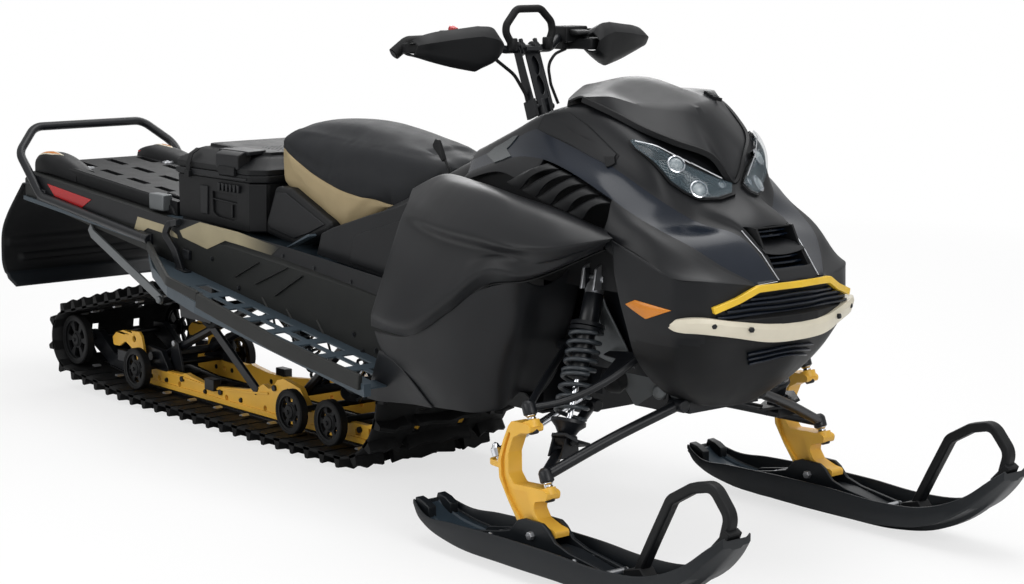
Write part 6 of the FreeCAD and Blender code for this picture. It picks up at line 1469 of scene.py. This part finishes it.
def makeRails():
    arc = [(-1150 + 176 * math.sin(a), 230 - 176 * math.cos(a)) for a in np.radians(np.arange(8, 70, 8))]
    line = [(-2420, 66), (-2300, 54), (-1150, 54)] + arc + [(-990, 176)] + trackParts["railTop"]
    line, heel, tower, bracket = (rounded(outline, 9) for outline in
                                  (line, trackParts["heel"], trackParts["tower"], trackParts["bracket"]))
    drilled = [circle(9, 12, spot) for spot in trackParts["railHoles"]]
    square = [[(x - 13, z - 9), (x + 13, z - 9), (x + 13, z + 9), (x - 13, z + 9)]
              for x, z in trackParts["railWindows"]]
    web = slab(line, -131, -113, holes=drilled + square)
    flange = [slab([(-2296, 57), (-1154, 57), (-1154, 72), (-2296, 72)], -135.5, -130)]
    crest = [swept([(-2210, -131, 108), (-2010, -131, 100), (-1930, -131, 98), (-1760, -131, 114),
                    (-1640, -131, 128)],
                   [(-1, -3), (4, -3), (4, 3), (-1, 3)])]
    bracket = slab(bracket, -148, -140, holes=[circle(11, 14, (-2383, 193))])
    bolts = [turned([(-136, 0), (-136, 6.5), (-131, 8), (-112, 8)], (x, 0, z), sides=6)
             for x, z in trackParts["railHoles"][::2]]
    plugs = [turned([(-138, 0), (-138, 9), (-120, 9)], (x, 0, z), sides=12)
             for x, z in ((-2120, 100), (-1900, 92), (-1606, 150), (-1180, 96))]
    strip = slab([(-2560, 78), (-2300, 51), (-1150, 51), (-1102, 57), (-1106, 62), (-1150, 55), (-2300, 55),
                  (-2556, 82)],
                 -138, -108)
    blocks = [crate((-1972, -1920), (-146, -118), (92, 128)), crate((-1086, -1044), (-146, -118), (128, 158)),
              crate((-2470, -2410), (-160, -134), (112, 150))]
    strut = swept([(-2010, -128, 332), (-1700, -128, 124)], plank(6, 14))
    upright = slab([(-2242, 112), (-2226, 202), (-2206, 210), (-2190, 202), (-2162, 112)], -104, -96)
    piece("railWebs", both([web]), "yellowPaint", bevel=1.5, replaces="slide_rails")
    piece("railTrim", both([*flange, *crest, bracket]), "yellowPaint", bevel=1.2)
    piece("railHeels", both([slab(heel, -133, -111), slab(tower, -132, -112)]), "blackMetal", bevel=1.5)
    piece("railBolts", both(bolts + plugs), "blackMetal")
    piece("railStrips", both([strip]), "blackPlastic")
    piece("railBlocks", both([*blocks, strut, upright]), "blackMetal", bevel=2)
    piece("railPins", both([turned([(-110, 0), (-110, 9), (-104, 10)], (-2208, 0, 198), sides=14)]),
          "bareMetal")


def makeRearShocks():
    for name, top, foot in (("Front", (-1180, 0, 425), (-1425, 0, 117)),
                            ("Rear", (-1745, 0, 385), (-1520, 0, 146))):
        top, foot = np.array(top, float), np.array(foot, float)
        length = np.linalg.norm(foot - top)
        way = (foot - top) / length
        body = turned([(15, 12), (22, 20), (length * 0.55, 20), (length * 0.57, 14)], top, way)
        eye = turned([(length - 26, 10), (length - 16, 14)], top, way)
        cups = [turned([(a, 20), (a, 33), (a + 7, 34), (a + 8, 20)], top, way)
                for a in (length * 0.2, length - 40)]
        shaft = turned([(length * 0.5, 8), (length - 20, 8)], top, way)
        spring = coil(top + way * length * 0.23, top + way * (length - 42), 29, 4.5, 8)
        piece("rearShock" + name, [body, eye, *cups], "blackMetal",
              replaces="rear_shocks" if name == "Front" else "")
        piece("rearShaft" + name, [shaft], "chrome")
        piece("rearSpring" + name, [spring], "springSteel", angle=60)


makeTrack()
makeWheels()
makeRails()
makeRearShocks()
print("track done")


# Handlebar on its tall riser, with hooked ends, guards, controls and the strap loop

barParts = {
    "bar": [(-611, 0, 1183), (-611, -78, 1183), (-622, -116, 1207), (-650, -250, 1210), (-662, -350, 1208),
            (-668, -390, 1178)],
    "guard": [
        # side, station shift, low edge, crease, ridge, top edge
        (-162, -6, 1176, 1184, 1202, 1222), (-178, 0, 1162, 1170, 1212, 1240),
        (-222, 2, 1137, 1166, 1223, 1247), (-284, 2, 1150, 1180, 1218, 1240),
        (-342, 0, 1166, 1190, 1211, 1233), (-374, -2, 1176, 1193, 1207, 1224),
        (-390, -8, 1180, 1190, 1203, 1214),
    ],
    "loop": [(-596, -58, 1188), (-600, -80, 1226), (-601, -78, 1246), (-604, -40, 1286), (-604, 40, 1286),
             (-601, 74, 1252), (-600, 78, 1228), (-596, 58, 1188)],
    "riserTop": (-611.3, 0, 1183.2),
}


def makeBar():
    right = [np.array(point, float) for point in barParts["bar"]]
    line = [point * (1, -1, 1) for point in reversed(right[1:])] + right[1:]
    smooth = easedCorners(line, 30, 7)
    grips = [swept(easedCorners([(-648, -240, 1210), (-662, -350, 1208), (-668, -388, 1180)], 26, 6),
                   circle(16, 22))]
    rings = [turned([(-2, 16), (0, 18), (6, 18), (8, 16)], (-648, -240, 1210), (-0.1, -1, 0))]
    piece("barTube", [swept(smooth, circle(11, 20))], "blackMetal", body="steering", replaces="handlebar")
    piece("barGrips", both(grips + rings), "trackRubber", body="steering")


def makeRiser():
    # two cheeks and a front plate with two pointed openings, clamps at both ends
    top, way = np.array(barParts["riserTop"]), np.array(postWay)
    ahead = np.array([way[2], 0, -way[0]])

    def at(down, side, depth):
        # a place down the post from its top, to one side and ahead of it
        return top - way * down + (0, side, 0) + ahead * depth

    def lens(middle):
        angles = np.linspace(0, 2 * math.pi, 16, endpoint=False)
        return [(middle + 26 * math.cos(a), 5 + 11 * math.sin(a) * abs(math.sin(a)) ** 0.3) for a in angles]

    cheeks = []
    for side in (-31, 26):
        ring = [at(0, side, -13), at(0, side, 13), at(60, side, 13), at(165, side, 16), at(165, side, -16)]
        cheeks.append(flatPlate(ring, 5))
    outline = [(6, -19), (6, 31), (160, 31), (160, -20)]
    points, faces = slab(outline, 8, 13, holes=[lens(50), lens(104)], axis=2)
    plate = (np.array([at(x, y, z) for x, y, z in points]), faces)
    behind = flatPlate([at(4, -4, 0), at(4, 26, 0), at(150, 26, 0), at(150, -4, 0)], 3)
    lip = flatPlate([at(4, -26, 11), at(4, 26, 11), at(16, 26, 11), at(16, -26, 11)], 20)
    clamps = []
    for side in (-24, 24):
        clamps.append(turned([(-9, 16), (-8, 19), (8, 19), (9, 16)], at(0, side, 0), sides=20))
        clamps.append(turned([(-17, 0), (-16, 6), (24, 6), (27, 0)], at(2, side, 12), way, sides=12))
    for side in (-30, 22):
        clamps.append(flatPlate([at(140, side, 20), at(186, side, 18), at(186, side, -22),
                                 at(140, side, -20)], 10))
        clamps.append(turned([(-4, 0), (-4, 8), (16, 8), (17, 0)], at(160, side - 4, 6), sides=12))
    stem = turned([(-110, 15), (24, 15)], at(165, 0, 0), way, sides=24)
    screws = [turned([(-3, 0), (-3, 5), (1, 5)], at(down, -31, 0), sides=12) for down in (22, 130)]
    piece("riserPlates", [*cheeks, plate, behind, lip, stem], "blackMetal", body="steering", bevel=1.2)
    piece("riserClamps", clamps, "blackMetal", body="steering", bevel=1)
    piece("riserScrews", screws, "bareMetal", body="steering")


def guardStation(side):
    return -515 - 53 * (abs(side) - 165) / 218


def makeGuards():
    rows = []
    for side, shift, low, crease, ridge, high in barParts["guard"]:
        base = guardStation(side) + shift
        rows.append([(base - 52, side, low + 6), (base - 26, side, low), (base - 2, side, (low + crease) / 2),
                     (base + 2, side, crease), (base + 9, side, ridge), (base - 1, side, (ridge + high) / 2),
                     (base - 13, side, high - 1), (base - 50, side, high - 16)])
    grid = easedNet(rows, 6, 4, sharpRows=(2,), sharpColumns=(3, 4, 6))
    arms = [tube([(-640, -190, 1210), (-590, -176, 1204), (-530, -178, 1196)], 8, 20),
            tube([(-658, -330, 1208), (-612, -346, 1204), (-572, -352, 1200)], 7, 16),
            crate((-652, -572), (-376, -326), (1182, 1208)), crate((-640, -530), (-214, -152), (1178, 1208))]
    piece("guardShells", both([sheet(grid)]), "blackPlastic", body="steering", wall=3, outward=False,
          angle=30, replaces="hand_guards")
    piece("guardArms", both(arms), "blackPlastic", body="steering", bevel=4, segments=3)


def makeControls():
    left = [crate((-652, -592), (118, 196), (1196, 1238)), crate((-668, -620), (132, 210), (1176, 1206)),
            crate((-640, -600), (196, 236), (1188, 1230)),
            slab([(-600, 1232), (-560, 1226), (-556, 1216), (-600, 1214)], 130, 180)]
    right = [crate((-650, -606), (-262, -212), (1192, 1236)), crate((-646, -612), (-210, -176), (1190, 1230))]
    lever = [tube([(-606, 210, 1200), (-578, 232, 1196), (-582, 330, 1190)], 5, 16)]
    throttle = [tube([(-616, -214, 1198), (-590, -240, 1192), (-592, -300, 1190)], 5, 14)]
    lines = [tube([(-600, -168, 1192), (-590, -122, 1160), (-578, -70, 1120), (-566, -40, 1066),
                   (-560, -34, 1040)], 4.5, 70),
             tube([(-610, 132, 1178), (-596, 84, 1168), (-590, 54, 1140), (-578, 54, 1090), (-562, 66, 1040)],
                  4, 50)]
    button = turned([(0, 12), (4, 13), (10, 11), (13, 0)], (-604, -250, 1236), (0.3, 0, 1))
    piece("controlBlocks", left + right, "blackPlastic", body="steering", bevel=5, segments=3)
    piece("controlLevers", lever + throttle, "blackMetal", body="steering")
    piece("controlLines", lines, "trackRubber", body="steering")
    piece("stopButton", [button], "redLens", body="steering")


def makeLoop():
    line = easedCorners(barParts["loop"], 26, 6)
    piece("strapLoop", [swept(line, circle(10))], "trackRubber", body="steering", replaces="grab_strap")
    ends = [turned([(-16, 12), (-12, 14), (12, 14), (16, 12)], (-598, side, 1196), (0, 0, 1))
            for side in (-60, 60)]
    piece("strapEnds", ends, "blackPlastic", body="steering")


makeBar()
makeRiser()
makeGuards()
makeControls()
makeLoop()
print("handlebar done")


# Stage: pale floor, soft studio light and the photograph's camera

stage = {
    "floorSize": 60.0, "floorColor": (0.9, 0.9, 0.9), "shadowShare": 0.3, "fadeStart": 2.5, "fadeEnd": 6.0,
    "skyLow": 0.30, "skyHigh": 1.0, "ambient": 0.5,
    "cameraAt": (5.0469, -3.812, 1.4716), "pitch": 8.95, "yaw": 50.02, "lens": 79.49,
}


def makeFloor():
    half = stage["floorSize"] / 2
    mesh = bpy.data.meshes.new("floor")
    mesh.from_pydata([(-half, -half, 0), (half, -half, 0), (half, half, 0), (-half, half, 0)], [],
                     [(0, 1, 2, 3)])
    floor = bpy.data.objects.new("floor", mesh)
    scene.collection.objects.link(floor)
    material = bpy.data.materials.new("floorPaint")
    material.use_nodes = True
    nodes, links = material.node_tree.nodes, material.node_tree.links
    shader = nodes["Principled BSDF"]
    shader.inputs["Base Color"].default_value = (*stage["floorColor"], 1)
    shader.inputs["Roughness"].default_value = 0.9
    shader.inputs["Specular IOR Level"].default_value = 0.1
    # seen by the camera the floor is mostly plain white and keeps a share of its shadow near the object
    white = nodes.new("ShaderNodeEmission")
    coords = nodes.new("ShaderNodeTexCoord")
    distance = nodes.new("ShaderNodeVectorMath")
    distance.operation = "LENGTH"
    fade = nodes.new("ShaderNodeMapRange")
    fade.inputs["From Min"].default_value = stage["fadeStart"]
    fade.inputs["From Max"].default_value = stage["fadeEnd"]
    fade.inputs["To Min"].default_value = 1 - stage["shadowShare"]
    fade.inputs["To Max"].default_value = 1
    path = nodes.new("ShaderNodeLightPath")
    factor = nodes.new("ShaderNodeMath")
    factor.operation = "MULTIPLY"
    blend = nodes.new("ShaderNodeMixShader")
    links.new(coords.outputs["Object"], distance.inputs[0])
    links.new(distance.outputs["Value"], fade.inputs["Value"])
    links.new(fade.outputs["Result"], factor.inputs[0])
    links.new(path.outputs["Is Camera Ray"], factor.inputs[1])
    links.new(factor.outputs["Value"], blend.inputs["Fac"])
    links.new(shader.outputs["BSDF"], blend.inputs[1])
    links.new(white.outputs["Emission"], blend.inputs[2])
    links.new(blend.outputs["Shader"], nodes["Material Output"].inputs["Surface"])
    mesh.materials.append(material)


def makeWorld():
    world = bpy.data.worlds.new("studio")
    world.use_nodes = True
    scene.world = world
    nodes, links = world.node_tree.nodes, world.node_tree.links
    background = nodes["Background"]
    background.inputs["Color"].default_value = (1, 1, 1, 1)
    path = nodes.new("ShaderNodeLightPath")
    coords = nodes.new("ShaderNodeTexCoord")
    split = nodes.new("ShaderNodeSeparateXYZ")
    sky = nodes.new("ShaderNodeMapRange")
    sky.inputs["From Min"].default_value = -0.1
    sky.inputs["From Max"].default_value = 0.9
    sky.inputs["To Min"].default_value = stage["skyLow"]
    sky.inputs["To Max"].default_value = stage["skyHigh"]
    links.new(coords.outputs["Generated"], split.inputs["Vector"])
    links.new(split.outputs["Z"], sky.inputs["Value"])
    mirror = nodes.new("ShaderNodeMath")
    mirror.operation = "MAXIMUM"
    links.new(path.outputs["Is Glossy Ray"], mirror.inputs[0])
    links.new(path.outputs["Is Transmission Ray"], mirror.inputs[1])
    seen = nodes.new("ShaderNodeMix")
    seen.inputs["A"].default_value = stage["ambient"]
    links.new(mirror.outputs["Value"], seen.inputs["Factor"])
    links.new(sky.outputs["Result"], seen.inputs["B"])
    level = nodes.new("ShaderNodeMix")
    level.inputs["B"].default_value = 1
    links.new(path.outputs["Is Camera Ray"], level.inputs["Factor"])
    links.new(seen.outputs["Result"], level.inputs["A"])
    links.new(level.outputs["Result"], background.inputs["Strength"])


softBoxes = [
    # name, place, aims at, size, power
    ("topBox", (0.4, 0.4, 4.2), (0, 0, 0.4), (4.5, 2.6), 110),
    ("frontBox", (5.2, -1.0, 2.6), (0.8, -0.2, 0.5), (2.4, 2.0), 60),
    ("sideBox", (-0.5, -4.8, 2.4), (-0.2, 0, 0.4), (4.0, 1.6), 60),
    ("backBox", (-3.5, 3.4, 3.0), (0, 0, 0.6), (3.0, 1.5), 70),
]


def makeLights():
    for name, position, target, size, power in softBoxes:
        lamp = bpy.data.lights.new(name, "AREA")
        lamp.shape = "RECTANGLE"
        lamp.size, lamp.size_y = size
        lamp.energy = power
        holder = bpy.data.objects.new(name, lamp)
        holder.location = position
        holder.rotation_euler = (Vector(target) - Vector(position)).to_track_quat("-Z", "Y").to_euler()
        scene.collection.objects.link(holder)


def makeCamera():
    camera = bpy.data.cameras.new("photoView")
    camera.lens = stage["lens"]
    camera.sensor_width = 36
    camera.clip_end = 100
    holder = bpy.data.objects.new("photoView", camera)
    holder.location = stage["cameraAt"]
    holder.rotation_euler = (math.radians(90 - stage["pitch"]), 0, math.radians(stage["yaw"]))
    scene.collection.objects.link(holder)
    scene.camera = holder


makeFloor()
makeWorld()
makeLights()
makeCamera()
scene.view_settings.view_transform = "Standard"
print("stage done")
